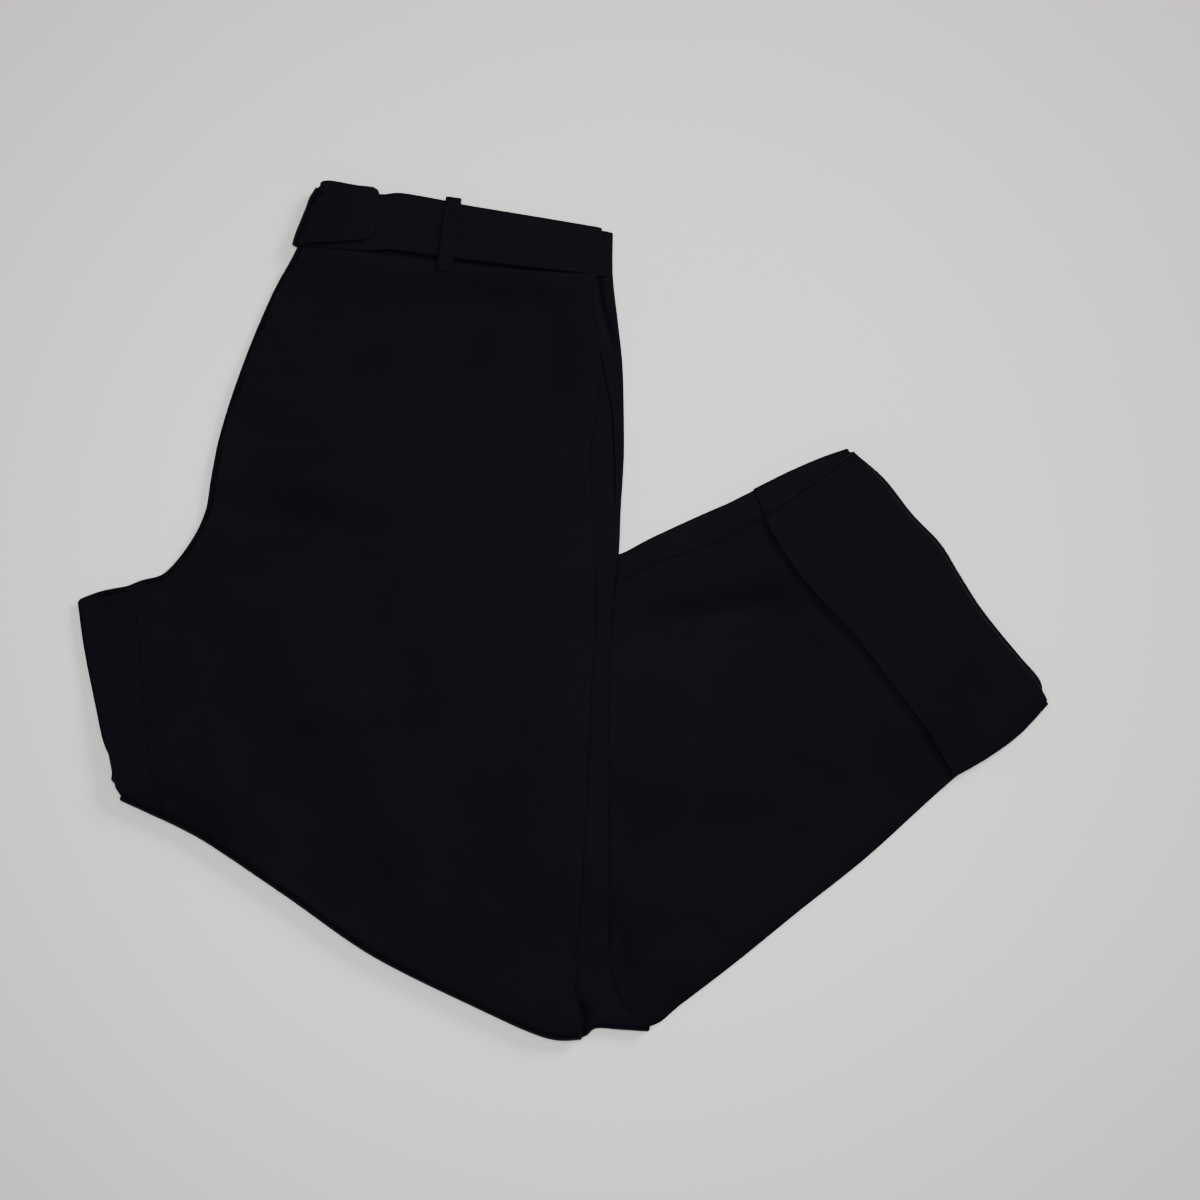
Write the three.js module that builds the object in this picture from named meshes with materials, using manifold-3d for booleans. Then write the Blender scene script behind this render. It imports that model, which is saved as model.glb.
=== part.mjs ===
// Straight-leg trousers with deep turn-ups, folded in half and then at the knee.
// Millimetres. +Z is up and the garment lies on z = 0.
// +X runs across towards the hems, +Y runs up towards the waist.
// The left leg lies on the right leg, and below the knee both are folded underneath.

import * as THREE from "three";
import { mergeVertices } from "three/addons/utils/BufferGeometryUtils.js";
import Module from "manifold-3d";

// Driving sizes
const CLOTH = 1.2;
const GAP = 0.3;
const PITCH = CLOTH + GAP;
const LEG = 2 * PITCH;
const LEG_PAIR = 2 * LEG;
const BAND_CLOTH = 2.0;
const WAIST_RISE = 3.0;
const WAIST_FADE = 30;
const RAMP = 42;
const CUFF_RISE = 2.8;
const CUFF_FADE = 45;
const DROOP = 22;
const BODY_INSET = 3.2;
const LOOP_WIDTH = 9.3;
const LOOP_OVER = 2.5;
const TAB_CLOTH = 2.0;
const BAND_LIP = BAND_CLOTH + GAP;
const HEM_LAYER = 4.6;

const CORE_SLACK = 0.6;
const OFF_FLOOR = 0.15;
const UNDER = [-18, 0];

// Steps round a lip and round the knee fold, in degrees from the outermost line
const LIP_ANGLES = [0, 45, 90];
const KNEE_ANGLES = [90, 60, 30, 0, -30, -60, -84];
const TOP_ANGLES = [90, 60, 30, 0];

const CLOTH_COLOUR = 0x0f1014;
const CLOTH_ROUGHNESS = 0.9;

// Sections across the upper part, from the top of the waistband to the knee fold.
// inner is the centre-front and crotch edge, side the left leg's outer edge and
// edge the right leg's, which shows beside it.
const UPPER = [
  { inner: [-162.2, 281.9], side: [26.3, 254.3], edge: [33.7, 251.7] },
  { inner: [-177.0, 243.0], side: [22.3, 224.3], edge: [33.7, 223.0] },
  { inner: [-192.3, 215.0], side: [21.0, 195.0], edge: [36.8, 195.0] },
  { inner: [-207.0, 181.7], side: [24.3, 163.7], edge: [40.0, 165.7] },
  { inner: [-220.3, 145.7], side: [23.0, 130.3], edge: [41.0, 133.7] },
  { inner: [-229.7, 115.0], side: [17.7, 99.0], edge: [41.0, 101.7] },
  { inner: [-235.0, 88.3], side: [19.7, 67.0], edge: [39.0, 68.3] },
  { inner: [-239.0, 65.7], side: [21.0, 37.0], edge: [37.7, 39.0] },
  { inner: [-249.7, 44.3], side: [23.0, 7.0], edge: [34.3, 7.0] },
  { inner: [-266.3, 25.0], side: [21.7, -23.0], edge: [32.3, -23.0] },
  { inner: [-289.7, 17.0], side: [19.7, -56.3], edge: [31.7, -56.3] },
  { inner: [-322.7, 7.0], side: [18.3, -89.7], edge: [31.0, -89.7] },
  { inner: [-319.5, -26.3], side: [17.0, -119.7], edge: [31.0, -123.0] },
  { inner: [-311.5, -65.0], side: [15.0, -159.7], edge: [31.7, -163.0] },
  { inner: [-303.5, -94.3], side: [12.3, -199.7], edge: [32.3, -203.0] },
  { inner: [-299.7, -111.7], side: [9.7, -236.3], edge: [35.0, -246.0] },
  { inner: [-295.0, -125.8], side: [13.0, -285.7], edge: [57.0, -280.5] },
];
const LAST = UPPER.length - 1;
const BAND_ROW = 1;
const CROTCH_ROW = 10;

// Where the band ends and the panels and their knee rolls start, in sections
const BAND_END = BAND_ROW - 0.02;
const PANEL_START = BAND_ROW + 0.03;
const ROLL_START = LAST - 0.75;
const STRIP_ROLL_START = LAST - 0.3;

// The inseam of the left leg, which shows on top from the crotch to the knee fold
const INSEAM = [
  [-285.7, 17.0], [-283.9, -8.0], [-282.0, -33.0], [-279.5, -60.0], [-276.5, -88.0],
  [-273.0, -112.0], [-268.0, -139.3],
];

// Edge of the left back beyond the inseam, round the crotch corner to the knee fold
const CROTCH_SIDE = [
  [-292.0, 16.2], [-306.3, 13.6], [-317.5, 9.8], [-323.2, 6.6], [-323.2, 0.0], [-319.5, -26.3],
  [-311.5, -65.0], [-306.3, -87.0], [-300.4, -102.0], [-299.6, -114.5], [-295.0, -125.8],
];
const CROTCH_TOP = [-287.5, 16.6];

// The knee fold, from the inseam side to the outer side
const KNEE_FOLD = [
  [-295.0, -125.8], [-240.3, -152.3], [-184.0, -190.0], [-127.0, -229.7],
  [-59.7, -263.7], [-12.0, -283.5], [13.0, -285.7],
];

// Sections across the lower part, from under the upper one to the hem.
// back is the left leg's inner edge, inner the right leg's and side its outer edge.
const LOWER = [
  { back: [29.0, 35.7], inner: [24.3, 13.7], side: [13.7, -265.0] },
  { back: [40.0, 38.5], inner: [37.7, 20.3], side: [39.7, -273.0] },
  { back: [58.0, 48.0], inner: [55.0, 29.0], side: [59.7, -276.0] },
  { back: [78.3, 57.5], inner: [73.0, 36.3], side: [78.3, -260.3] },
  { back: [96.0, 65.5], inner: [91.7, 41.7], side: [115.0, -233.0] },
  { back: [110.0, 71.5], inner: [110.3, 49.7], side: [157.7, -198.3] },
  { back: [119.0, 76.0], inner: [125.0, 57.7], side: [203.7, -161.7] },
  { back: [128.0, 80.5], inner: [138.3, 67.0], side: [258.0, -112.3] },
  { back: [150.0, 91.5], inner: [158.3, 79.7], side: [281.7, -97.7] },
  { back: [173.0, 101.5], inner: [176.3, 92.3], side: [303.7, -81.7] },
  { back: [191.0, 107.7], inner: [192.0, 102.5], side: [321.7, -65.7] },
];
const HEM_ROW = LOWER.length - 1;
const CUFF_ROW = 7;

// Free edge of the turn-up and the fold at the hem, inner side to outer side
const CUFF_EDGE = [
  [134.0, 62.5], [152.5, 31.5], [175.0, 4.5], [199.0, -21.5], [221.0, -50.5],
  [242.5, -79.0], [261.5, -111.0],
];
const HEM = [
  [192.5, 105.5], [211.7, 87.0], [232.3, 62.8], [250.8, 43.5], [264.0, 22.5],
  [277.0, 3.0], [291.0, -13.5], [305.0, -30.3], [316.5, -46.0], [322.5, -61.0],
];

// Where the hidden lower part begins to lift the upper one
const RIDGE = { from: [-298.3, -119.7], to: [37.7, 39.0] };

// Largest soft folds on top: a trough is negative, a ridge positive
const UPPER_FOLDS = [
  { from: [-205, 135], to: [-95, 128], width: 16, height: -0.5 },
  { from: [-212, 92], to: [-92, 72], width: 18, height: -0.6 },
  { from: [-262, 5], to: [-150, -22], width: 20, height: -0.7 },
  { from: [-262, 12], to: [-120, 60], width: 16, height: 0.5 },
  { from: [-60, -90], to: [-40, -230], width: 22, height: 0.5 },
];
const LOWER_FOLDS = [
  { from: [62, 18], to: [160, 24], width: 14, height: -0.5 },
  { from: [50, -65], to: [110, -125], width: 20, height: 0.5 },
];

const LOOP = { top: [-72.7, 274.3], foot: [-79.0, 226.3] };
const TAB = {
  left: [[-165.7, 284.6], [-170.5, 274.5], [-174.0, 264.0], [-179.5, 250.5], [-180.5, 244.5]],
  right: [[-123.5, 280.3], [-124.5, 270.0], [-126.0, 258.0], [-127.0, 250.5], [-129.5, 247.7]],
};

// Small tools for lines in plan
const plus = (a, b, k = 1) => [a[0] + k * b[0], a[1] + k * b[1]];
const mix = (a, b, t) => [a[0] + t * (b[0] - a[0]), a[1] + t * (b[1] - a[1])];
const clamp = (t) => Math.min(1, Math.max(0, t));
const smooth = (t) => clamp(t) ** 2 * (3 - 2 * clamp(t));
const toRadians = (degrees) => (degrees * Math.PI) / 180;

function curveThrough(points) {
  const spline = new THREE.SplineCurve(points.map(([x, y]) => new THREE.Vector2(x, y)));
  return (t) => spline.getPoint(clamp(t)).toArray();
}

function inwardAt(curve, t, turn) {
  const a = curve(Math.max(0, t - 0.01));
  const b = curve(Math.min(1, t + 0.01));
  const length = Math.hypot(b[0] - a[0], b[1] - a[1]);
  return [(-turn * (b[1] - a[1])) / length, (turn * (b[0] - a[0])) / length];
}

function nearestOn(line, point) {
  let best = Infinity;
  for (let i = 0; i + 1 < line.length; i += 1) {
    const run = plus(line[i + 1], line[i], -1);
    const away = plus(point, line[i], -1);
    const t = clamp((run[0] * away[0] + run[1] * away[1]) / (run[0] ** 2 + run[1] ** 2));
    const foot = mix(line[i], line[i + 1], t);
    best = Math.min(best, Math.hypot(point[0] - foot[0], point[1] - foot[1]));
  }
  return best;
}

function bump(folds, point) {
  return folds.reduce((sum, { from, to, width, height }) => {
    const d = nearestOn([from, to], point) / width;
    return sum + height * Math.exp(-d * d);
  }, 0);
}

// A patch in plan between four border curves; u runs across, v runs down the leg.
// hand is 1 where u runs to the right as v runs down, and -1 where it runs to the left.
function patch(left, right, top, bottom) {
  const corner = { a: left(0), b: right(0), c: left(1), d: right(1) };
  const inside = (u, v) => {
    const across = mix(left(v), right(v), u);
    const along = mix(top(u), bottom(u), v);
    const flat = mix(mix(corner.a, corner.b, u), mix(corner.c, corner.d, u), v);
    return [across[0] + along[0] - flat[0], across[1] + along[1] - flat[1]];
  };
  const along = plus(corner.c, corner.a, -1);
  const across = plus(corner.b, corner.a, -1);
  const hand = across[0] * along[1] - across[1] * along[0] < 0 ? 1 : -1;
  return { left, right, top, bottom, inside, hand };
}

const straight = (a, b) => (t) => mix(a, b, t);

// Columns lie at u, or at a distance in from the left or right border.
// Rows lie at v, or at a distance in from the bottom border.
function place(plan, column, row) {
  const u = column.u ?? (column.side === "left" ? 0 : 1);
  const v = row.v ?? 1;
  let point = row.inset === undefined ? plan.inside(u, v) : plan.bottom(u);
  if (column.side === "left") point = plus(point, inwardAt(plan.left, v, plan.hand), column.inset);
  if (column.side === "right") point = plus(point, inwardAt(plan.right, v, -plan.hand), column.inset);
  if (row.inset !== undefined) point = plus(point, inwardAt(plan.bottom, u, plan.hand), row.inset);
  return point;
}

function columnsAcross(count, lip, leftInset, rightInset) {
  const steps = LIP_ANGLES.map((angle) => ({ lip: angle, in: lip * (1 - Math.cos(toRadians(angle))) }));
  const between = Array.from({ length: count }, (_, i) => ({ u: (i + 1) / (count + 1) }));
  return [
    ...steps.map((step) => ({ side: "left", inset: leftInset + step.in, lip: step.lip })),
    ...between.map((c) => ({ ...c, lip: 90 })),
    ...steps.map((step) => ({ side: "right", inset: rightInset + step.in, lip: step.lip })).reverse(),
  ];
}

const rowsDown = (from, to, count, last) =>
  Array.from({ length: count + 1 }, (_, i) => ({ v: (from + ((to - from) * i) / count) / last }));

const rollRows = (radius, inset, angles) =>
  angles.map((roll) => ({ roll, inset: inset + radius * (1 - Math.cos(toRadians(roll))) }));

// Closed geometry between two grids of equal size that share or bridge their rims
function closedGrids(upper, lower, hand) {
  const rows = upper.length;
  const columns = upper[0].length;
  const positions = [...upper.flat(2), ...lower.flat(2)];
  const at = (i, j, side) => side * rows * columns + i * columns + j;
  const index = [];
  const quad = (a, b, c, d) => index.push(...(hand > 0 ? [a, b, c, a, c, d] : [a, c, b, a, d, c]));
  for (let i = 0; i + 1 < rows; i += 1) {
    for (let j = 0; j + 1 < columns; j += 1) {
      quad(at(i, j, 0), at(i + 1, j, 0), at(i + 1, j + 1, 0), at(i, j + 1, 0));
      quad(at(i, j, 1), at(i, j + 1, 1), at(i + 1, j + 1, 1), at(i + 1, j, 1));
    }
  }
  for (let j = 0; j + 1 < columns; j += 1) {
    quad(at(0, j, 0), at(0, j + 1, 0), at(0, j + 1, 1), at(0, j, 1));
    quad(at(rows - 1, j, 0), at(rows - 1, j, 1), at(rows - 1, j + 1, 1), at(rows - 1, j + 1, 0));
  }
  for (let i = 0; i + 1 < rows; i += 1) {
    quad(at(i, 0, 0), at(i, 0, 1), at(i + 1, 0, 1), at(i + 1, 0, 0));
    quad(at(i, columns - 1, 0), at(i + 1, columns - 1, 0), at(i + 1, columns - 1, 1), at(i, columns - 1, 1));
  }
  const geometry = new THREE.BufferGeometry();
  geometry.setAttribute("position", new THREE.Float32BufferAttribute(positions, 3));
  geometry.setIndex(index);
  return dropSlivers(mergeVertices(geometry, 1e-3));
}

function dropSlivers(geometry) {
  const index = geometry.index.array;
  const kept = [];
  for (let i = 0; i < index.length; i += 3) {
    const [a, b, c] = index.slice(i, i + 3);
    if (a !== b && b !== c && c !== a) kept.push(a, b, c);
  }
  geometry.setIndex(kept);
  return geometry;
}

function gridNormals(grid) {
  const pick = (i, j) => new THREE.Vector3(...grid[i][j]);
  return grid.map((row, i) => row.map((_, j) => {
    const up = pick(Math.max(0, i - 1), j);
    const down = pick(Math.min(grid.length - 1, i + 1), j);
    const before = pick(i, Math.max(0, j - 1));
    const after = pick(i, Math.min(row.length - 1, j + 1));
    return down.sub(up).cross(after.sub(before)).normalize();
  }));
}

// A cloth wall: its outer face lies on the surface, its inner face one thickness in.
// room is the wall with the gap that its neighbours leave round it.
function clothWall(plan, columns, rows, surface, thickness = CLOTH) {
  const outer = rows.map((row) => columns.map((column) => surface(plan, column, row)));
  const normals = gridNormals(outer);
  const moved = (distance) => outer.map((line, i) => line.map((point, j) =>
    point.map((value, axis) => value + plan.hand * distance * normals[i][j].getComponent(axis))));
  return {
    wall: closedGrids(outer, moved(-thickness), plan.hand),
    room: closedGrids(widened(moved(GAP)), widened(moved(-thickness - GAP)), plan.hand),
  };
}

// The grid with its rim pushed outwards by the gap
function widened(grid) {
  const push = (line) => {
    const beyond = (a, b) => {
      const run = b.map((value, axis) => a[axis] - value);
      return a.map((value, axis) => value + (GAP * run[axis]) / Math.hypot(...run));
    };
    return [beyond(line[0], line[1]), ...line.slice(1, -1), beyond(line.at(-1), line.at(-2))];
  };
  const turned = (rows) => rows[0].map((_, j) => rows.map((row) => row[j]));
  return turned(turned(grid.map(push)).map(push));
}

// A hidden solid between two heights, rounded round its rim
function layerPad(plan, columns, rows, low, high) {
  const face = (sign) => rows.map((row) => columns.map((column) => {
    const point = place(plan, column, row);
    const middle = (high(point) + low(point)) / 2;
    const half = (high(point) - low(point)) / 2;
    const swell = Math.sin(toRadians(column.lip)) * Math.sin(toRadians(row.roll ?? 90));
    return [...point, middle + sign * half * swell];
  }));
  return closedGrids(face(1), face(-1), plan.hand);
}

// Border curves and patches in plan
const column = (table, name) => curveThrough(table.map((row) => row[name]));
const kneeFold = curveThrough(KNEE_FOLD);
const foldLine = Array.from({ length: 41 }, (_, i) => kneeFold(i / 40));
const upperSide = column(UPPER, "side");
const upperEdge = column(UPPER, "edge");
const upperPlan = patch(
  column(UPPER, "inner"), upperSide, straight(UPPER[0].inner, UPPER[0].side), kneeFold,
);
const rightPlan = patch(
  column(UPPER, "inner"), upperEdge, straight(UPPER[0].inner, UPPER[0].edge),
  curveThrough([...KNEE_FOLD.slice(0, -1), [13.0, -282.0], [35.0, -279.5], UPPER[LAST].edge]),
);
const seamSide = [
  ...UPPER.slice(0, CROTCH_ROW).map((row) => row.inner), ...INSEAM,
];
const frontPlan = patch(
  curveThrough(seamSide), upperSide, straight(UPPER[0].inner, UPPER[0].side),
  curveThrough([INSEAM.at(-1), ...KNEE_FOLD.slice(1)]),
);
const besideInseam = [CROTCH_TOP, ...INSEAM.slice(1)].map((point) => plus(point, [-GAP, 0]));
const crotchPlan = patch(
  curveThrough(CROTCH_SIDE), curveThrough(besideInseam),
  straight(CROTCH_SIDE[0], besideInseam[0]), straight(KNEE_FOLD[0], besideInseam.at(-1)),
);
const UNDER_SIDE = [-5.5, 0];
const stripPlan = patch(
  (t) => plus(upperSide(t), UNDER_SIDE), upperEdge,
  straight(plus(UPPER[0].side, UNDER_SIDE), UPPER[0].edge),
  curveThrough([plus(UPPER[LAST].side, [-5.5, 5]), [22.0, -278.5], [40.0, -280.3], UPPER[LAST].edge]),
);
const lowerInner = column(LOWER, "inner");
const lowerSide = column(LOWER, "side");
const hemFold = curveThrough(HEM);
const lowerPlan = patch(lowerInner, lowerSide, straight(LOWER[0].inner, LOWER[0].side), hemFold);
const tucked = (point) => plus(point, UNDER);
const untucked = (point) => plus(point, UNDER, -0.4);
const tuckPlan = patch(
  straight(tucked(LOWER[0].inner), tucked(LOWER[0].side)),
  straight(untucked(LOWER[0].inner), untucked(LOWER[0].side)),
  straight(tucked(LOWER[0].inner), untucked(LOWER[0].inner)),
  straight(tucked(LOWER[0].side), untucked(LOWER[0].side)),
);
const underFront = (point) => plus(point, [2, -4]);
const backPlan = patch(
  column(LOWER, "back"), (t) => underFront(lowerInner(t)),
  straight(LOWER[0].back, underFront(LOWER[0].inner)),
  straight(LOWER[HEM_ROW].back, underFront(LOWER[HEM_ROW].inner)),
);
const cuffRows = LOWER.slice(CUFF_ROW);
const cuffSide = cuffRows.slice(1, -1).map((row) => plus(row.side, [1.5, -1.5]));
const cuffPlan = patch(
  curveThrough([CUFF_EDGE[0], ...cuffRows.slice(1, -1).map((row) => row.inner), HEM[0]]),
  curveThrough([CUFF_EDGE.at(-1), ...cuffSide, HEM.at(-1)]),
  curveThrough(CUFF_EDGE), hemFold,
);
const cuffBack = cuffRows.map((row) => plus(row.back, [-0.8, 1.8]));
const cuffBackPlan = patch(
  curveThrough(cuffBack), (t) => underFront(cuffPlan.left(t)),
  straight(cuffBack[0], underFront(CUFF_EDGE[0])), straight(cuffBack.at(-1), underFront(HEM[0])),
);
const sideLine = Array.from({ length: 41 }, (_, i) => lowerSide(i / 40));
const sideOfLeg = Array.from({ length: 61 }, (_, i) => upperSide(i / 60));

function rightOfSide(point) {
  const level = sideOfLeg.find((q) => q[1] < point[1]) ?? sideOfLeg.at(-1);
  return point[0] > level[0];
}

// Heights of the outer faces above the table
function lift(point) {
  const run = plus(RIDGE.to, RIDGE.from, -1);
  const away = plus(point, RIDGE.from, -1);
  const north = (run[0] * away[1] - run[1] * away[0]) / Math.hypot(...run);
  return (LEG_PAIR + GAP) * smooth(1 - north / RAMP);
}

function waistRise(point) {
  const run = plus(UPPER[BAND_ROW].side, UPPER[BAND_ROW].inner, -1);
  const away = plus(point, UPPER[BAND_ROW].inner, -1);
  const below = (run[1] * away[0] - run[0] * away[1]) / Math.hypot(...run);
  return WAIST_RISE * smooth(1 - below / WAIST_FADE);
}

function cuffRise(point) {
  const run = plus(CUFF_EDGE.at(-1), CUFF_EDGE[0], -1);
  const away = plus(point, CUFF_EDGE[0], -1);
  const before = -(run[0] * away[1] - run[1] * away[0]) / Math.hypot(...run);
  return CUFF_RISE * smooth(1 - before / CUFF_FADE);
}

const upperTop = (p) => lift(p) + LEG_PAIR + waistRise(p) + bump(UPPER_FOLDS, p);
const stripTop = (p) => lift(p) + LEG + waistRise(p) / 2;
const lowerRest = (p) => LEG_PAIR + cuffRise(p) + bump(LOWER_FOLDS, p);
const lowerTop = (p) => lowerRest(p) - LEG * smooth(1 - nearestOn(sideLine, p) / DROOP);
const backTop = (p) => LEG + cuffRise(p) / 2;
const bandTop = (p) => upperTop(p) - PITCH + GAP + BAND_CLOTH;
const kneeFloor = (p) => PITCH * smooth(1 - (nearestOn(foldLine, p) - LEG_PAIR) / 8);

// Outer face of a wall: a lip of the given radius at each side, and the roll at the end
const onSurface = (top, lip, foot = 0) => (plan, col, row) => {
  const point = place(plan, col, row);
  const crown = top(point);
  const drop = lip * (1 - Math.sin(toRadians(col.lip)));
  if (row.roll === undefined) return [...point, crown - drop];
  const radius = (crown - foot) / 2;
  const tilt = Math.sin(toRadians(row.roll));
  return [...point, foot + radius + (radius - drop) * tilt];
};

const upperRoll = (LEG_PAIR + GAP + LEG_PAIR) / 2;
const stripRoll = (LEG_PAIR + GAP + LEG) / 2;

function leftFront() {
  const rows = [
    ...rowsDown(PANEL_START, ROLL_START, 22, LAST),
    ...rollRows(upperRoll, 0, KNEE_ANGLES),
  ];
  return clothWall(frontPlan, columnsAcross(11, PITCH, 0, 0), rows, onSurface(upperTop, PITCH));
}

function leftBackCrotch() {
  const rows = [...rowsDown(0, 0.9, 9, 1), ...rollRows(upperRoll, 0, KNEE_ANGLES)];
  const left = columnsAcross(3, PITCH, 0, 0).filter((c) => c.side !== "right");
  const columns = [...left, { u: 1, lip: 90 }];
  return clothWall(crotchPlan, columns, rows, onSurface(upperTop, PITCH));
}

function rightBackStrip() {
  const rows = [
    ...rowsDown(PANEL_START, STRIP_ROLL_START, 20, LAST),
    ...rollRows(stripRoll, 0, KNEE_ANGLES),
  ];
  const columns = columnsAcross(2, PITCH, 0, 0).filter((c) => c.side !== "left");
  return clothWall(stripPlan, [{ u: 0, lip: 90 }, ...columns], rows, onSurface(stripTop, PITCH));
}

function rightFrontLower() {
  const rows = rowsDown(0, HEM_ROW - 0.12, 14, HEM_ROW);
  return clothWall(lowerPlan, columnsAcross(9, PITCH, 0, 0), rows, onSurface(lowerTop, PITCH));
}

function leftBackLower() {
  const rows = rowsDown(0.2, HEM_ROW - 0.3, 14, HEM_ROW);
  const left = columnsAcross(2, PITCH, 0, 0).filter((c) => c.side !== "right");
  return clothWall(backPlan, [...left, { u: 1, lip: 90 }], rows, onSurface(backTop, PITCH));
}

function rightCuff() {
  const rows = [
    ...rowsDown(0, 0.9, 5, 1),
    ...rollRows(LEG - GAP, 0, [90, 60, 30, 0, -30, -60]),
  ];
  const above = (p) => lowerTop(p) + PITCH;
  const foot = 4.9;
  return clothWall(cuffPlan, columnsAcross(11, LEG, 0, 0), rows, onSurface(above, LEG, foot));
}

function leftCuff() {
  const rows = rowsDown(0.05, 0.97, 8, 1);
  const left = columnsAcross(2, LEG, 0, 0).filter((c) => c.side !== "right");
  const above = (p) => backTop(p) + PITCH;
  return clothWall(cuffBackPlan, [...left, { u: 1, lip: 90 }], rows, onSurface(above, LEG));
}

function leftWaistband() {
  const rows = rowsDown(0, BAND_END, 4, LAST);
  const columns = columnsAcross(12, BAND_LIP, 0, 0);
  return clothWall(upperPlan, columns, rows, onSurface(bandTop, BAND_LIP), BAND_CLOTH);
}

function rightWaistband() {
  const rows = rowsDown(0, BAND_END, 4, LAST);
  const columns = columnsAcross(1, BAND_LIP, 0, 0).filter((c) => c.side !== "left");
  const above = (p) => stripTop(p) - PITCH + BAND_LIP;
  const surface = onSurface(above, BAND_LIP);
  return clothWall(stripPlan, [{ u: 0, lip: 90 }, ...columns], rows, surface, BAND_CLOTH);
}

// The tab of the right front comes round the centre-front fold onto the left band
function waistbandTab() {
  const plan = patch(
    straight(TAB.right[0], TAB.left[0]), straight(TAB.right.at(-1), TAB.left.at(-1)),
    curveThrough(TAB.right), curveThrough(TAB.left),
  );
  const above = (p) => bandTop(p) + GAP + TAB_CLOTH;
  const columns = Array.from({ length: 9 }, (_, i) => ({ u: i / 8, lip: 90 }));
  const radius = (bandTop(TAB.left[0]) + GAP + TAB_CLOTH) / 2;
  const rows = [...rowsDown(0, 0.84, 6, 1), ...rollRows(radius, 0, [90, 68, 45, 22, 0, -20, -38])];
  return clothWall(plan, columns, rows, onSurface(above, 0), TAB_CLOTH);
}

function beltLoop() {
  const run = plus(LOOP.top, LOOP.foot, -1);
  const half = LOOP_WIDTH / 2 / Math.hypot(...run);
  const across = [-run[1] * half, run[0] * half];
  const corner = (end, k) => plus(end, across, k);
  const plan = patch(
    straight(corner(LOOP.foot, -1), corner(LOOP.top, -1)),
    straight(corner(LOOP.foot, 1), corner(LOOP.top, 1)),
    straight(corner(LOOP.foot, -1), corner(LOOP.foot, 1)),
    straight(corner(LOOP.top, -1), corner(LOOP.top, 1)),
  );
  const above = (p) => bandTop(p) + PITCH;
  const foot = bandTop(LOOP.top) + PITCH - 2 * LOOP_OVER;
  const columns = Array.from({ length: 4 }, (_, i) => ({ u: i / 3, lip: 90 }));
  const rows = [...rowsDown(0, 0.93, 10, 1), ...rollRows(LOOP_OVER, 0, [90, 60, 30, 0, -30])];
  return clothWall(plan, columns, rows, onSurface(above, 0, foot));
}

// The layers that nothing shows but their edges, joined into one rounded solid
function foldedLayers() {
  const round = (count, lip, inset) => columnsAcross(count, lip, inset, inset);
  const leftOnly = (list) => [...list.filter((c) => c.side !== "right"), { u: 1, lip: 90 }];
  const rightOnly = (list) => [{ u: 0, lip: 90 }, ...list.filter((c) => c.side !== "left")];
  const floor = () => 0;
  const nearFloor = () => OFF_FLOOR;
  const under = (top, depth) => (p) => top(p) - depth;
  const core = PITCH + CORE_SLACK;
  const layer = core + OFF_FLOOR;
  const secondTop = (p) => {
    const inside = rightOfSide(p) ? 0 : smooth((nearestOn(sideOfLeg, p) - 3) / 4);
    return stripTop(p) - core * (1 - inside);
  };
  const upperRows = rowsDown(0.01, ROLL_START, 14, LAST);
  const lowerRows = rowsDown(0, HEM_ROW - 0.5, 9, HEM_ROW);
  const roll = rollRows(upperRoll - PITCH, PITCH + 0.3, TOP_ANGLES);
  const stripRows = [
    ...rowsDown(12, STRIP_ROLL_START, 5, LAST),
    ...rollRows(stripRoll - PITCH, PITCH + 1, TOP_ANGLES),
  ];
  const hemRows = [...rowsDown(0.1, 0.93, 5, 1), ...rollRows(2.2, 0.4, TOP_ANGLES)];
  return [
    layerPad(upperPlan, round(6, 3, BODY_INSET), [...upperRows, ...roll], kneeFloor, under(upperTop, core)),
    layerPad(upperPlan, round(4, 0.5, 2.4), upperRows, under(upperTop, LEG - GAP), under(upperTop, layer)),
    layerPad(rightPlan, round(7, 0.6, 0.5), upperRows, (p) => lift(p) + OFF_FLOOR, secondTop),
    layerPad(stripPlan, rightOnly(round(1, 0.6, 0.5)), stripRows, lift, under(stripTop, layer)),
    layerPad(tuckPlan, round(1, 1, 0), rowsDown(0, 1, 2, 1), nearFloor, () => LEG),
    layerPad(lowerPlan, round(5, 3, BODY_INSET), [...lowerRows, ...rollRows(2, 4, [90, 45, 0])], floor,
      under(lowerTop, core)),
    layerPad(lowerPlan, round(4, 0.5, 1.8), lowerRows, under(lowerTop, LEG - GAP), under(lowerTop, layer)),
    layerPad(backPlan, leftOnly(round(1, 0.7, 0)), lowerRows, nearFloor, under(backTop, core)),
    layerPad(cuffPlan, round(5, 1.2, 2.2), hemRows, nearFloor,
      (p) => Math.min(HEM_LAYER, lowerTop(p) - LEG)),
  ];
}

// Closed meshes as solids that can be joined and cut, and back again
const wasm = await Module();
wasm.setup();

const asSolid = (geometry) => new wasm.Manifold(new wasm.Mesh({
  numProp: 3,
  vertProperties: new Float32Array(geometry.attributes.position.array),
  triVerts: new Uint32Array(geometry.index.array),
}));

const largestShell = (solid) =>
  solid.decompose().reduce((a, b) => (b.volume() > a.volume() ? b : a));

function asGeometry(solid) {
  const { vertProperties, triVerts } = solid.getMesh();
  const geometry = new THREE.BufferGeometry();
  geometry.setAttribute("position", new THREE.BufferAttribute(vertProperties, 3));
  geometry.setIndex(new THREE.BufferAttribute(triVerts, 1));
  return geometry;
}

// The pieces from the outermost to the innermost: each is trimmed to clear those before it
const WALLS = {
  belt_loop: beltLoop(),
  waistband_tab: waistbandTab(),
  left_waistband: leftWaistband(),
  left_front: leftFront(),
  left_back_crotch: leftBackCrotch(),
  right_waistband: rightWaistband(),
  right_back_strip: rightBackStrip(),
  right_cuff: rightCuff(),
  left_cuff: leftCuff(),
  right_front_lower: rightFrontLower(),
  left_back_lower: leftBackLower(),
};

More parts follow.
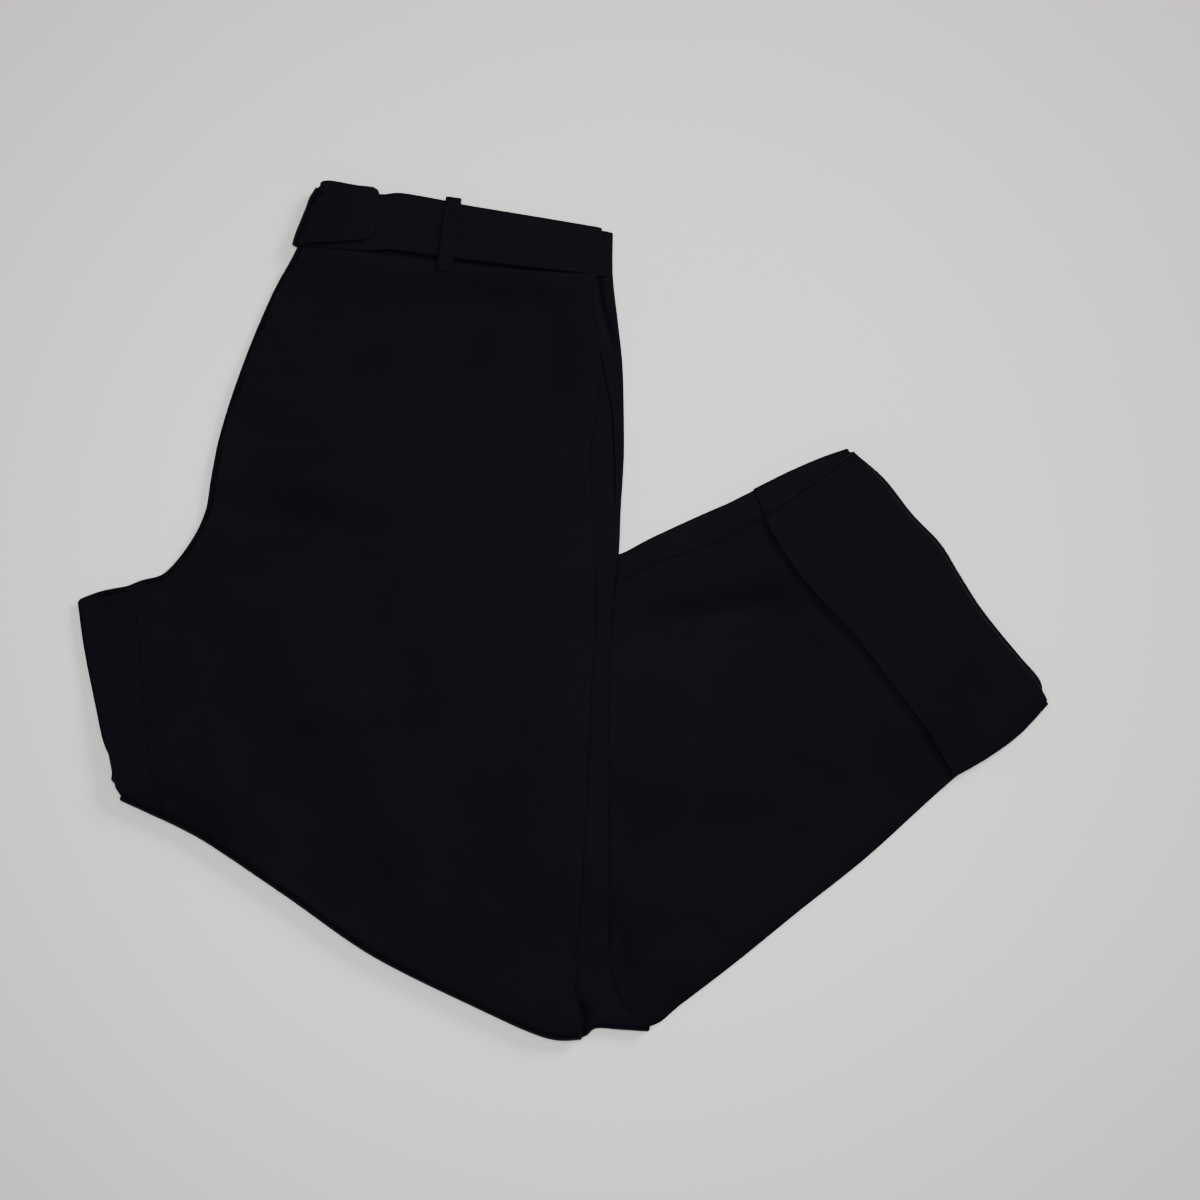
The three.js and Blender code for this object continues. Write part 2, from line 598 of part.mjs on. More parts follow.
const pieces = {};
const taken = [];
for (const [name, { wall, room }] of Object.entries(WALLS)) {
  const solid = taken.reduce((rest, other) => rest.subtract(other), asSolid(wall));
  pieces[name] = asGeometry(largestShell(solid));
  taken.push(asSolid(room));
}
const layers = foldedLayers().map(asSolid).reduce((sum, solid) => sum.add(solid));
const core = taken.reduce((rest, other) => rest.subtract(other), layers);
pieces.folded_layers = asGeometry(largestShell(core));

const trousers = new THREE.Group();
for (const [name, geometry] of Object.entries(pieces)) {
  const material = new THREE.MeshStandardMaterial({
    color: CLOTH_COLOUR, roughness: CLOTH_ROUGHNESS, metalness: 0,
  });
  const mesh = new THREE.Mesh(geometry, material);
  mesh.name = name;
  trousers.add(mesh);
}

export default trousers;
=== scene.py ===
from collections import namedtuple

import bpy
import numpy as np
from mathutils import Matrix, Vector


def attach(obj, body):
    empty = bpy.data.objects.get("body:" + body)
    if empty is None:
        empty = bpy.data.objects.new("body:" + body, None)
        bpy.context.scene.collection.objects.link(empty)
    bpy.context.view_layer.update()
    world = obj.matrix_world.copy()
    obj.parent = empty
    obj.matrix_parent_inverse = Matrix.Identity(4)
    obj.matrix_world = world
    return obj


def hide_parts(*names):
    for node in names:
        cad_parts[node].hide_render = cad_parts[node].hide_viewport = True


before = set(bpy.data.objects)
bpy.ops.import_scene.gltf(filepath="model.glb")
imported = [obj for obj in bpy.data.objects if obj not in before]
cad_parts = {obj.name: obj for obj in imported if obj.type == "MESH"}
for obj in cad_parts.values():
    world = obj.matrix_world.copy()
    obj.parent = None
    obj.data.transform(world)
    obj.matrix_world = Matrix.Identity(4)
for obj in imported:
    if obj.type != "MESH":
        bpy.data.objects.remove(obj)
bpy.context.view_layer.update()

# Black trousers folded in half and then at the knee, seen from straight above.
# Plan tables and heights are in millimetres; meshes are in metres.
MM = 0.001

# Thickness of the cloth, and heights of one leg and of both with their layers
CLOTH = 1.1
LEG = 3.0
LEG_PAIR = 6.0
LAYER_GAP = 0.3
FLOOR_GAP = 0.05

# The stack stands higher at the waistband and under the turn-ups, and fades out from there
WAIST_RISE = 3.0
WAIST_FADE = 30.0
CUFF_RISE = 2.8
CUFF_FADE = 45.0

# Length of the slope where the upper part climbs onto the hidden lower one
RAMP = 84.0

# Turn-ups: step above the leg, half thickness, tuck of the leg beside the free edge,
# and the share of the length where the round of the hem begins
CUFF_STEP = 2.0
CUFF_HALF = 2.5
CUFF_TUCK = 0.9
CUFF_TUCK_WIDTH = 6.0
CUFF_END = 0.968

# Offsets of their borders from the tables: the left one, which lies under the right one,
# stands out at the hem and at the back, and stays in at the side
RIGHT_CUFF_SIDE = (1.2, -1.2)
LEFT_CUFF_BACK = (-0.4, 0.8)
LEFT_CUFF_SIDE = (-1.6, 2.2)
LEFT_CUFF_HEM = (2.0, 1.7)
LEFT_CUFF_EDGE = (-3, 1)

# Rounds of their hems and free edges
HEM_RADIUS = 1.2
HEM_DEPTH = 14.0
RIGHT_EDGE_RADIUS = 0.8
LEFT_EDGE_RADIUS = 0.55

# The lower leg sinks a little towards its outer edge: width and depth of that rim
DROOP = 9.0
FALL = 0.5
CUFF_RELIEF_FADE = 12.0

# Greatest height of the outer rim of the left lower leg, which lies on the table
LEFT_RIM_HEIGHT = 1.9

# Waistband and its seam
BAND_STEP = 0.25
BAND_CLOTH = 1.9
BAND_HALF = 2.1
RIGHT_BAND_REACH = 2.4
BAND_RELIEF_FADE = 20.0
SEAM_TUCK = 1.3
SEAM_LIP = 0.2

# How far the centre-front fold curves in, and how far an edge runs on underneath
FOLD_REACH = 3.4
TAIL = 14.0

# Belt loop and tab
LOOP_WIDTH = 9.3
LOOP_CLOTH = 1.2
LOOP_OVER = 2.5
TAB_CLOTH = 1.9
TAB_CORNER = 7.0

# Slot of the side pocket, and the hollow beside the knee fold
SLOT_DEPTH = 1.5
SLOT_WIDTH = 3.2
HOLLOW_DEPTH = 2.7
HOLLOW_WIDTH = 4.2

# Stitches of the belt loop: radius, sides, and the share of the radius along each stitch
STITCH_RADIUS = 0.22
STITCH_SIDES = 6
STITCH_RINGS = [(0.0, 0.25), (0.15, 0.85), (0.5, 1.0), (0.85, 0.85), (1.0, 0.25)]

# Folded edge of the pocket: thickness, and its section as reach sideways and rise
POCKET_CLOTH = 0.5
POCKET_SECTION = [(-1.7, -0.5), (-1.1, 0.25), (-0.3, 0.62), (0.5, 0.66), (1.2, 0.3), (1.7, -0.5)]

# Finishes, in shader values
CLOTH_DARK = (0.0012, 0.0013, 0.0025)
CLOTH_LIGHT = (0.0018, 0.0020, 0.0037)
CLOTH_ROUGHNESS = 0.52
CLOTH_SHINE = 0.0235
CLOTH_SHEEN = 0.02
SHEEN_ROUGHNESS = 0.45
SHEEN_TINT = (0.80, 0.84, 1.0, 1)
THREAD_DARK = (0.002, 0.002, 0.0035)
THREAD_LIGHT = (0.004, 0.004, 0.006)
THREAD_SHINE = 0.06
FLOOR_WARM = (0.727, 0.690, 0.679)
FLOOR_COOL = (0.737, 0.700, 0.703)
# FLOOR_MIDDLE and FLOOR_CORNER_PAINTED_SHADE multiply the floor colour from the middle out to the
# corners: painted shade standing in for the light falling off
FLOOR_MIDDLE = (1, 1, 1)
FLOOR_CORNER_PAINTED_SHADE = (0.755, 0.735, 0.735)
FLOOR_SHINE = 0.1

# Relief of the cloth: depth in metres and strength
WEAVE_RELIEF = (0.00012, 0.45)
PEBBLE_RELIEF = (0.00025, 0.5)
SOFT_RELIEF = (0.0009, 0.2)

# Width of the crepe's threads in metres, with gaps as wide
WEFT_THREAD = 0.00045
WARP_THREAD = 0.0004

# Radians that a wave texture of scale 1 turns in a metre
WAVE_RATE = 20

# Turn of the grain in degrees
UPPER_GRAIN = 8.0
LOWER_GRAIN = 52.0
BAND_GRAIN = -9.0

# Camera, lights and floor, in metres and watts; spread is in degrees
CAMERA_PLACE = (0.025, 0.007, 2.2)
CAMERA_TARGET_HEIGHT = 0.008
FRAME_WIDTH = 0.8
SENSOR = 36.0
Light = namedtuple("Light", "name place target size power colour spread")
LIGHTS = [
    Light("key", (-0.07, 0.09, 2.3), (-0.01, -0.05, 0), 0.9, 6.8, (1.0, 0.985, 0.975), 60),
    Light("side", (2.9, 2.3, 2.2), (0, -0.05, 0), 1.5, 228.0, (1.0, 0.99, 0.985), 180),
]
WORLD_COLOUR = (0.98, 0.98, 1.0, 1)
WORLD_STRENGTH = 0.40
FLOOR_SIZE = 8.0
FLOOR_BELOW = 0.0003

# Sections across the upper part, from the top of the waistband to the knee fold:
# inner border, side fold of the left leg, outer edge of the strip beyond it
Upper = namedtuple("Upper", "inner side edge")
UPPER = [
    Upper((-162.2, 281.9), (26.3, 254.3), (33.7, 251.7)),
    Upper((-177.0, 243.0), (22.3, 224.3), (33.7, 223.0)),
    Upper((-192.3, 215.0), (21.0, 195.0), (36.8, 195.0)),
    Upper((-207.0, 181.7), (24.3, 163.7), (40.0, 165.7)),
    Upper((-220.3, 145.7), (23.0, 130.3), (41.0, 133.7)),
    Upper((-229.7, 115.0), (17.7, 99.0), (41.0, 101.7)),
    Upper((-235.0, 88.3), (19.7, 67.0), (39.0, 68.3)),
    Upper((-239.0, 65.7), (21.0, 37.0), (37.7, 39.0)),
    Upper((-249.7, 44.3), (23.0, 7.0), (34.3, 7.0)),
    Upper((-266.3, 25.0), (21.7, -23.0), (32.3, -23.0)),
    Upper((-289.7, 17.0), (19.7, -56.3), (31.7, -56.3)),
    Upper((-322.7, 7.0), (18.3, -89.7), (31.0, -89.7)),
    Upper((-319.5, -26.3), (17.0, -119.7), (31.0, -123.0)),
    Upper((-311.5, -65.0), (15.0, -159.7), (31.7, -163.0)),
    Upper((-303.5, -94.3), (12.3, -199.7), (32.3, -203.0)),
    Upper((-299.7, -111.7), (9.7, -236.3), (35.0, -246.0)),
    Upper((-295.8, -126.6), (13.0, -286.6), (58.0, -281.3)),
]
LAST = len(UPPER) - 1
BAND_ROW = 1
CROTCH_ROW = 10

# Sections where the level rows of the left front, right back and right front end
LEFT_FRONT_END = LAST - 0.75
RIGHT_BACK_END = LAST - 0.6
RIGHT_FRONT_END = 14

# Inseam of the left leg on top, from the crotch to the knee fold
INSEAM = [
    (-285.7, 17.0), (-283.9, -8.0), (-282.0, -33.0), (-279.5, -60.0), (-276.5, -88.0),
    (-273.0, -112.0), (-268.0, -139.3),
]
CROTCH_TOP = (-287.5, 16.6)

# Edge of the left back beyond the inseam, round the crotch corner to the knee fold
CROTCH_SIDE = [
    (-292.0, 16.2), (-306.3, 13.6), (-317.5, 9.8), (-323.2, 6.6), (-323.2, 0.0), (-319.5, -26.3),
    (-311.5, -65.0), (-306.3, -87.0), (-300.2, -102.0), (-300.4, -115.5), (-295.8, -126.6),
]

# Knee fold, from the inseam side to the outer side
KNEE_FOLD = [
    (-295.8, -126.6), (-240.7, -153.2), (-184.6, -190.9), (-127.5, -230.5),
    (-59.9, -264.3), (-12.0, -285.2), (13.0, -286.6),
]

# Sections across the lower part, from under the upper one to the hem:
# inner edge of the left leg below, inner edge of the right leg on top, outer edge
Lower = namedtuple("Lower", "back inner side")
LOWER = [
    Lower((-10.0, 17.0), (-12.0, -3.0), (-14.0, -258.0)),
    Lower((29.0, 35.7), (24.3, 13.7), (13.7, -266.0)),
    Lower((40.0, 38.5), (37.7, 20.3), (39.7, -274.5)),
    Lower((58.0, 48.0), (55.0, 29.0), (60.7, -277.0)),
    Lower((78.3, 57.5), (73.0, 36.3), (80.0, -262.5)),
    Lower((96.0, 65.5), (91.7, 41.7), (116.3, -234.7)),
    Lower((110.0, 71.5), (110.3, 49.7), (159.0, -200.0)),
    Lower((119.0, 76.0), (125.0, 57.7), (205.0, -163.3)),
    Lower((128.0, 80.5), (138.3, 67.0), (259.2, -113.8)),
    Lower((150.0, 91.5), (158.3, 79.7), (281.7, -97.7)),
    Lower((173.0, 101.5), (176.3, 92.3), (303.7, -81.7)),
    Lower((191.0, 107.7), (192.0, 102.5), (321.7, -65.7)),
]
HEM_ROW = len(LOWER) - 1
CUFF_ROW = 8
RIGHT_LOWER_END = HEM_ROW - 0.9

# Free edge of the turn-up and the fold at the hem, inner side to outer side
CUFF_EDGE = [
    (134.0, 62.5), (152.5, 31.5), (175.0, 4.5), (199.0, -21.5), (221.0, -50.5),
    (242.5, -79.0), (261.5, -111.0),
]
HEM = [
    (194.0, 106.6), (212.4, 87.5), (232.3, 62.8), (250.8, 43.5), (263.8, 22.3),
    (276.2, 2.4), (289.7, -15.2), (304.2, -32.6), (317.8, -49.2), (324.6, -61.8),
]

# Where the hidden lower part begins to lift the upper one
RIDGE = ((-298.3, -119.7), (37.7, 39.0))

# Top edge of the waistband
WAIST = [
    (-162.2, 281.9), (-140.0, 279.2), (-120.7, 277.0), (-107.7, 277.9), (-81.7, 273.7),
    (-65.0, 270.3), (-20.0, 263.0), (26.3, 255.3),
]

# Ends of the belt loop's middle line, and borders of the tab
LOOP_TOP = (-72.4, 275.6)
LOOP_FOOT = (-79.0, 226.3)
TAB_TOP = [(-122.2, 281.3), (-136.5, 282.4), (-156.5, 285.6), (-165.0, 282.0)]
TAB_LEFT = [(-165.0, 282.0), (-169.0, 275.5), (-173.0, 265.0), (-178.5, 251.5), (-180.5, 244.5)]
TAB_RIGHT = [(-122.2, 281.3), (-123.2, 270.0), (-125.0, 258.0), (-126.5, 250.5), (-129.5, 247.2)]

# Soft creases laid in one by one: a ridge is positive, a trough negative
Crease = namedtuple("Crease", "line width height")
UPPER_CREASES = [
    Crease([(-190, 193), (-120, 190), (-66, 189), (-24, 190)], 22, -3.2),
    Crease([(-4, 198), (-8, 170), (-14, 136)], 15, -2.6),
    Crease([(-232, 149), (-185, 147), (-140, 143)], 13, 1.7),
    Crease([(-226, 116), (-186, 111), (-140, 114)], 12, -2.4),
    Crease([(-226, 92), (-160, 88), (-90, 72)], 14, 1.4),
    Crease([(-232, 60), (-164, 54), (-96, 40)], 15, -2.1),
    Crease([(-246, 46), (-206, 38), (-170, 34)], 14, 0.8),
    Crease([(-302, -10), (-238, -26), (-160, -34)], 22, -1.6),
    Crease([(-196, -62), (-140, -64), (-88, -58)], 16, 1.7),
    Crease([(-290, -95), (-240, -118), (-200, -146)], 17, 1.3),
    Crease([(-92, 148), (-40, 150), (6, 140)], 14, 0.6),
    Crease([(-92, 108), (-40, 106), (6, 98)], 14, -0.7),
    Crease([(-22, 74), (-16, 20), (-26, -50)], 14, 0.8),
    Crease([(-140, -60), (-120, -130), (-92, -196)], 20, 1.4),
    Crease([(-60, -96), (-52, -160), (-40, -232)], 17, -0.7),
    Crease([(-214, -70), (-190, -114), (-170, -150)], 15, -0.8),
    Crease([(-2, -90), (-8, -150), (-14, -214)], 12, 0.6),
]
LOWER_CREASES = [
    Crease([(46, -12), (104, -6), (172, 8)], 15, -3.8),
    Crease([(40, -112), (62, -118), (92, -112)], 18, 1.7),
    Crease([(110, -60), (150, -72), (200, -84)], 20, 0.4),
    Crease([(60, -156), (110, -146), (160, -130)], 15, -1.0),
    Crease([(52, -220), (80, -214), (112, -206)], 13, -0.7),
    Crease([(150, -104), (180, -118), (212, -122)], 13, -0.7),
    Crease([(34, -196), (38, -228), (47, -262)], 8, -1.4),
]
CUFF_CREASES = [
    Crease([(170, 52), (190, 34), (208, 18)], 12, -0.9),
    Crease([(232, 2), (240, -26), (252, -48)], 10, 0.4),
    Crease([(262, -28), (276, -52), (284, -76)], 8, -0.4),
]

# Slight waves all over the cloth: radians for each millimetre east and north, phase, height
Ripple = namedtuple("Ripple", "east north phase height")
RIPPLES = [
    Ripple(0.061, 0.034, 0.4, 0.16),
    Ripple(-0.029, 0.073, 1.9, 0.15),
    Ripple(0.112, -0.051, 2.7, 0.09),
    Ripple(0.047, 0.131, 5.1, 0.08),
    Ripple(-0.163, 0.092, 3.3, 0.05),
    Ripple(0.211, 0.188, 0.9, 0.035),
]

# Mouth of the side pocket on the strip: the slot that shows dark, and its folded edge
POCKET_SLOT = [(22.0, 236), (23.5, 214), (26.5, 198), (31.5, 182), (35.5, 170)]
POCKET_EDGE = [
    (25.5, 176), (29.7, 153.7), (33.4, 136), (34.8, 115.7), (35.6, 96), (35.8, 79.7), (36.6, 62),
]

# Dark hollow on the strip, beside the corner of the knee fold
KNEE_HOLLOW = [(12.0, -266.0), (13.0, -276.0), (15.0, -290.0)]

# Record for the cut of a sheet before folding, in metres: width, length and flat area
Cut = namedtuple("Cut", "flat area held rests_on")

# Lines in plan


def curve(points):
    """Smooth curve through points, from 0 to 1."""
    points = np.asarray(points, float)
    last = len(points) - 1

    def at(t):
        place = np.clip(np.asarray(t, float), 0, 1) * last
        k = np.minimum(place.astype(int), last - 1)
        w = (place - k)[..., None]
        before, a, b, after = (points[np.clip(k + step, 0, last)] for step in (-1, 0, 1, 2))
        leave = (b - before) / 2
        arrive = (after - a) / 2
        cubic = 2 * a - 2 * b + leave + arrive
        square = -3 * a + 3 * b - 2 * leave - arrive
        return cubic * w**3 + square * w**2 + leave * w + a

    return at


def line(a, b):
    a = np.asarray(a, float)
    b = np.asarray(b, float)
    return lambda t: a + np.asarray(t, float)[..., None] * (b - a)


def shifted(at, offset):
    return lambda t: at(t) + np.asarray(offset, float)


def joined(at, start, end):
    """The same curve, eased so that it starts and ends at the given corners."""
    first = start - at(0.0)
    last = end - at(1.0)
    return lambda t: at(t) + np.asarray((1 - t))[..., None] * first + np.asarray(t)[..., None] * last


def sideways(at, t, hand):
    t = np.asarray(t, float)
    run = at(np.minimum(1, t + 0.01)) - at(np.maximum(0, t - 0.01))
    run /= np.linalg.norm(run, axis=-1, keepdims=True)
    return hand * np.stack([-run[..., 1], run[..., 0]], axis=-1)


def tangent(at, t):
    run = at(min(1.0, t + 0.02)) - at(max(0.0, t - 0.02))
    return run / np.linalg.norm(run)


def distance_to(points, places):
    """Distance to a polyline, and how far along it the nearest point lies."""
    points = np.asarray(points, float)
    best = np.full(places.shape[:-1], np.inf)
    along = np.zeros_like(best)
    count = len(points) - 1
    for k in range(count):
        run = points[k + 1] - points[k]
        t = np.clip(((places - points[k]) @ run) / (run @ run), 0, 1)
        away = np.linalg.norm(places - points[k] - t[..., None] * run, axis=-1)
        nearer = away < best
        best = np.where(nearer, away, best)
        along = np.where(nearer, (k + t) / count, along)
    return best, along


def smooth(t):
    t = np.clip(t, 0, 1)
    return t * t * (3 - 2 * t)


def north_of(a, b, places):
    """Distance to the left of the line from a to b."""
    a = np.asarray(a, float)
    run = np.asarray(b, float) - a
    away = places - a
    return (run[0] * away[..., 1] - run[1] * away[..., 0]) / np.hypot(*run)


class Patch:
    """Area in plan between four border curves: u runs across, v down the leg."""

    def __init__(self, left, right, top, bottom):
        self.left = left
        self.right = right
        self.top = joined(top, left(0.0), right(0.0))
        self.bottom = joined(bottom, left(1.0), right(1.0))
        self.corners = [left(0.0), right(0.0), left(1.0), right(1.0)]
        a, b, c, _ = self.corners
        across = b - a
        down = c - a
        self.hand = 1 if across[0] * down[1] - across[1] * down[0] < 0 else -1

    def at(self, u, v):
        u = u[..., None]
        v = v[..., None]
        a, b, c, d = self.corners
        across = self.left(v[..., 0]) * (1 - u) + self.right(v[..., 0]) * u
        along = self.top(u[..., 0]) * (1 - v) + self.bottom(u[..., 0]) * v
        flat = (a * (1 - u) + b * u) * (1 - v) + (c * (1 - u) + d * u) * v
        return across + along - flat


def column_of(table, name):
    return curve([getattr(row, name) for row in table])


knee_fold = curve(KNEE_FOLD)
upper_inner = column_of(UPPER, "inner")
upper_side = column_of(UPPER, "side")
upper_edge = column_of(UPPER, "edge")
lower_inner = column_of(LOWER, "inner")
lower_side = column_of(LOWER, "side")
hem_fold = curve(HEM)
SIDE_LINE = lower_side(np.linspace(0, 1, 60))

# Heights of the outer faces above the table


def creases(table, places):
    height = np.zeros(places.shape[:-1])
    for crease in table:
        away, along = distance_to(crease.line, places)
        ends = smooth(along / 0.35) * smooth((1 - along) / 0.35)
        height += crease.height * (0.25 + 0.75 * ends) * np.exp(-((away / crease.width) ** 2))
    return height


def ripples(places):
    x = places[..., 0]
    y = places[..., 1]
    return sum(r.height * np.sin(r.east * x + r.north * y + r.phase) for r in RIPPLES)


def lift(places):
    north = north_of(*RIDGE, places)
    return (LEG_PAIR + LAYER_GAP) * smooth(1 - north / RAMP)


def waist_rise(places):
    below = -north_of(UPPER[BAND_ROW].inner, UPPER[BAND_ROW].side, places)
    return WAIST_RISE * smooth(1 - below / WAIST_FADE)


def cuff_rise(places):
    before = -north_of(CUFF_EDGE[0], CUFF_EDGE[-1], places)
    return CUFF_RISE * smooth(1 - before / CUFF_FADE)


def upper_top(places):
    relief = creases(UPPER_CREASES, places) + ripples(places)
    below = -north_of(UPPER[BAND_ROW].inner, UPPER[BAND_ROW].side, places)
    base = lift(places) + LEG_PAIR + waist_rise(places)
    return base + relief * smooth(below / BAND_RELIEF_FADE)


def band_top(places):
    return lift(places) + LEG_PAIR + waist_rise(places) + BAND_STEP + 0.3 * ripples(places)


def strip_top(places):
    away, along = distance_to(POCKET_SLOT, places)
    ends = smooth(along / 0.1) * smooth((1 - along) / 0.3)
    slot = SLOT_DEPTH * ends * np.exp(-((away / SLOT_WIDTH) ** 2))
    beside, _ = distance_to(KNEE_HOLLOW, places)
    hollow = HOLLOW_DEPTH * np.exp(-((beside / HOLLOW_WIDTH) ** 2))
    base = lift(places) + LEG + waist_rise(places) / 2
    return base + 0.7 * ripples(places) - slot - hollow


def lower_top(places):
    away, _ = distance_to(SIDE_LINE, places)
    relief = creases(LOWER_CREASES, places) + ripples(places)
    fall = FALL * smooth(1 - away / DROOP)
    under = -north_of(CUFF_EDGE[0], CUFF_EDGE[-1], places)
    tuck = CUFF_TUCK * np.exp(-(((under - 1) / CUFF_TUCK_WIDTH) ** 2))
    return LEG_PAIR + cuff_rise(places) + relief * smooth(away / DROOP) - fall - tuck


def back_top(places):
    return LEG + cuff_rise(places) / 2


def cuff_top(places):
    away, _ = distance_to(SIDE_LINE, places)
    relief = creases(CUFF_CREASES, places) + 0.6 * ripples(places)
    fall = FALL * smooth(1 - away / DROOP)
    base = LEG_PAIR + CUFF_RISE + CUFF_STEP
    return base + relief * smooth(away / CUFF_RELIEF_FADE) - fall


# Sheets: rows run down the leg and columns across it

Column = namedtuple("Column", "u side angle tail drop")
Row = namedtuple("Row", "v roll back sink")


def across(start, end, count, angle=90.0):
    return [Column(u, 0, angle, 0.0, 0.0) for u in np.linspace(start, end, count)]


def lip(side, start=90.0, end=-90.0, steps=9):
    """Columns round a folded edge: side is -1 at the left border and 1 at the right."""
    u = 0.0 if side < 0 else 1.0
    return [Column(u, side, angle, 0.0, 0.0) for angle in np.linspace(start, end, steps)]


def tail(side, angle=-90.0, start=2.0, end=TAIL, steps=4, drop=0.0):
    u = 0.0 if side < 0 else 1.0
    return [Column(u, side, angle, reach, drop) for reach in np.linspace(start, end, steps)]


def down(start, end, count, sink=0.0):
    return [Row(v, None, 0.0, sink) for v in np.linspace(start, end, count)]


def rolled(start=90.0, end=-90.0, steps=15, back=TAIL):
    rows = [Row(1.0, angle, 0.0, 0.0) for angle in np.linspace(start, end, steps)]
    if back:
        rows += [Row(1.0, end, reach, 0.0) for reach in np.linspace(2, back, 4)]
    return rows


def equal_lip(radius):
    return lambda v, crown: (radius + 0 * crown, radius + 0 * crown)


def turned_to(direction, along, share):
    """A sideways direction turned towards a border, by a share from 0 to 1."""
    mixed = direction * (1 - share[..., None]) + along * share[..., None]
    return mixed / np.linalg.norm(mixed, axis=-1, keepdims=True)


def listed(entries, name):
    """One field of all columns or rows."""
    return np.array([getattr(entry, name) for entry in entries])


def inward_sides(plan, v, turns, start_along):
    """Directions into the sheet from both sides, turned towards the ends at its corners."""
    left = sideways(plan.left, v, plan.hand)
    right = sideways(plan.right, v, -plan.hand)
    if turns:
        ending = smooth((v - 0.88) / 0.12)
        left = turned_to(left, tangent(plan.bottom, 0.0), ending)
        right = turned_to(right, -tangent(plan.bottom, 1.0), ending)
    if start_along:
        left = turned_to(left, tangent(plan.top, 0.0), smooth(1 - v / 0.12))
    return left, right


def rounded_sides(inside, inward, u, columns, left_lip, right_lip):
    """Places in plan with the rounds of both sides, and the drop of each from the crown."""
    side = listed(columns, "side")[None, :]
    angle = np.radians(listed(columns, "angle"))[None, :]
    reach_left, drop_left = left_lip
    reach_right, drop_right = right_lip
    wide = np.where(side < 0, reach_left, np.where(side > 0, reach_right, 0.0))
    deep = np.where(side < 0, drop_left, drop_right)
    deep = np.where((side == 0) & (u < 0.5), drop_left, deep)
    aside = wide * (1 - np.cos(angle)) + listed(columns, "tail")[None, :]
    places = inside + np.where(side < 0, aside, 0.0)[..., None] * inward[0]
    places = places + np.where(side > 0, aside, 0.0)[..., None] * inward[1]
    drop = deep * (1 - np.sin(angle)) + listed(columns, "drop")[None, :]
    return places, drop


def rolled_end(rows, crown, floor, drop):
    """How far in and how high the rows of a roll lie."""
    roll = np.radians([90.0 if row.roll is None else row.roll for row in rows])[:, None]
    radius = (crown - floor) / 2
    away = radius - (radius - drop) * np.cos(roll) + listed(rows, "back")[:, None]
    return away, floor + radius + (radius - drop) * np.sin(roll)


def lay(plan, columns, rows, top, left=None, right=None, foot=None, bridge=0, start_along=False):
    """Points of a sheet in millimetres, one row of columns after another."""
    left = left or equal_lip(LEG / 2)
    right = right or equal_lip(LEG / 2)
    turned = np.array([row.roll is not None for row in rows])[:, None]
    u, v = np.broadcast_arrays(listed(columns, "u")[None, :], listed(rows, "v")[:, None])
    inside = plan.at(u, v)
    crown = top(inside)
    inward = inward_sides(plan, v, turned.any(), start_along)
    places, drop = rounded_sides(inside, inward, u, columns, left(v, crown), right(v, crown))
    crown = top(places)
    height = crown - drop - listed(rows, "sink")[:, None]
    if turned.any():
        floor = 0.0 if foot is None else foot(places)
        away, round_end = rolled_end(rows, crown, floor, drop)
        inward_end = sideways(plan.bottom, u, plan.hand)
        places = places + np.where(turned, away, 0.0)[..., None] * inward_end
        height = np.where(turned, round_end, height)
    grid = np.concatenate([places, np.maximum(height, FLOOR_GAP)[..., None]], axis=-1)
    if bridge:
        first = int(np.argmax(turned[:, 0]))
        grid = bridged(grid, first, bridge, top, drop)
    return grid


def bridged(grid, first, count, top, drop):
    """Rows added between the last level row and the first one of the roll."""
    a = grid[first - 1]
    b = grid[first]
    between = []
    for t in np.linspace(0, 1, count + 2)[1:-1]:
        row = a + t * (b - a)
        row[:, 2] = top(row[:, :2]) - drop[first]
        between.append(row)
    return np.concatenate([grid[:first], np.array(between), grid[first:]])


# Meshes


def grid_normals(grid, closed=False):
    if closed:
        around = np.roll(grid, -1, axis=1) - np.roll(grid, 1, axis=1)
    else:
        around = np.gradient(grid, axis=1)
    along = np.gradient(grid, axis=0)
    normal = np.cross(along, around)
    length = np.linalg.norm(normal, axis=-1, keepdims=True)
    return normal / np.maximum(length, 1e-9)


def upward(grid, normal):
    """1 where the normals leave the sheet's outer face, and -1 where they enter it."""
    peak = np.unravel_index(np.argmax(grid[..., 2]), grid.shape[:2])
    return 1 if normal[peak][2] > 0 else -1


def downward(normal):
    """The same for a sheet that lies face down."""
    return 1 if normal[..., 2].mean() < 0 else -1


def quads(rows, cols, first=0, closed=False):
    i, j = np.meshgrid(np.arange(rows - 1), np.arange(cols if closed else cols - 1), indexing="ij")
    k = (j + 1) % cols
    corners = [i * cols + j, (i + 1) * cols + j, (i + 1) * cols + k, i * cols + k]
    return first + np.stack(corners, axis=-1).reshape(-1, 4)


def border(rows, cols):
    """Index of each rim point of a grid in turn, and of the point inside it."""
    rim = [(0, j) for j in range(cols)]
    rim += [(i, cols - 1) for i in range(1, rows)]
    rim += [(rows - 1, j) for j in range(cols - 2, -1, -1)]
    rim += [(i, 0) for i in range(rows - 2, 0, -1)]
    rim = np.array(rim)
    within = np.stack([np.clip(rim[:, 0], 1, rows - 2), np.clip(rim[:, 1], 1, cols - 2)], axis=1)
    return rim, within


def make_object(name, points, faces, material):
    mesh = bpy.data.meshes.new(name)
    points = np.array(points, float)
    points[:, 2] = np.maximum(points[:, 2], FLOOR_GAP)
    mesh.from_pydata((points * MM).tolist(), [], np.asarray(faces).tolist())
    mesh.polygons.foreach_set("use_smooth", np.ones(len(mesh.polygons), bool))
    mesh.materials.append(material)
    mesh.update()
    piece = bpy.data.objects.new(name, mesh)
    bpy.context.scene.collection.objects.link(piece)
    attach(piece, "root")
    return piece


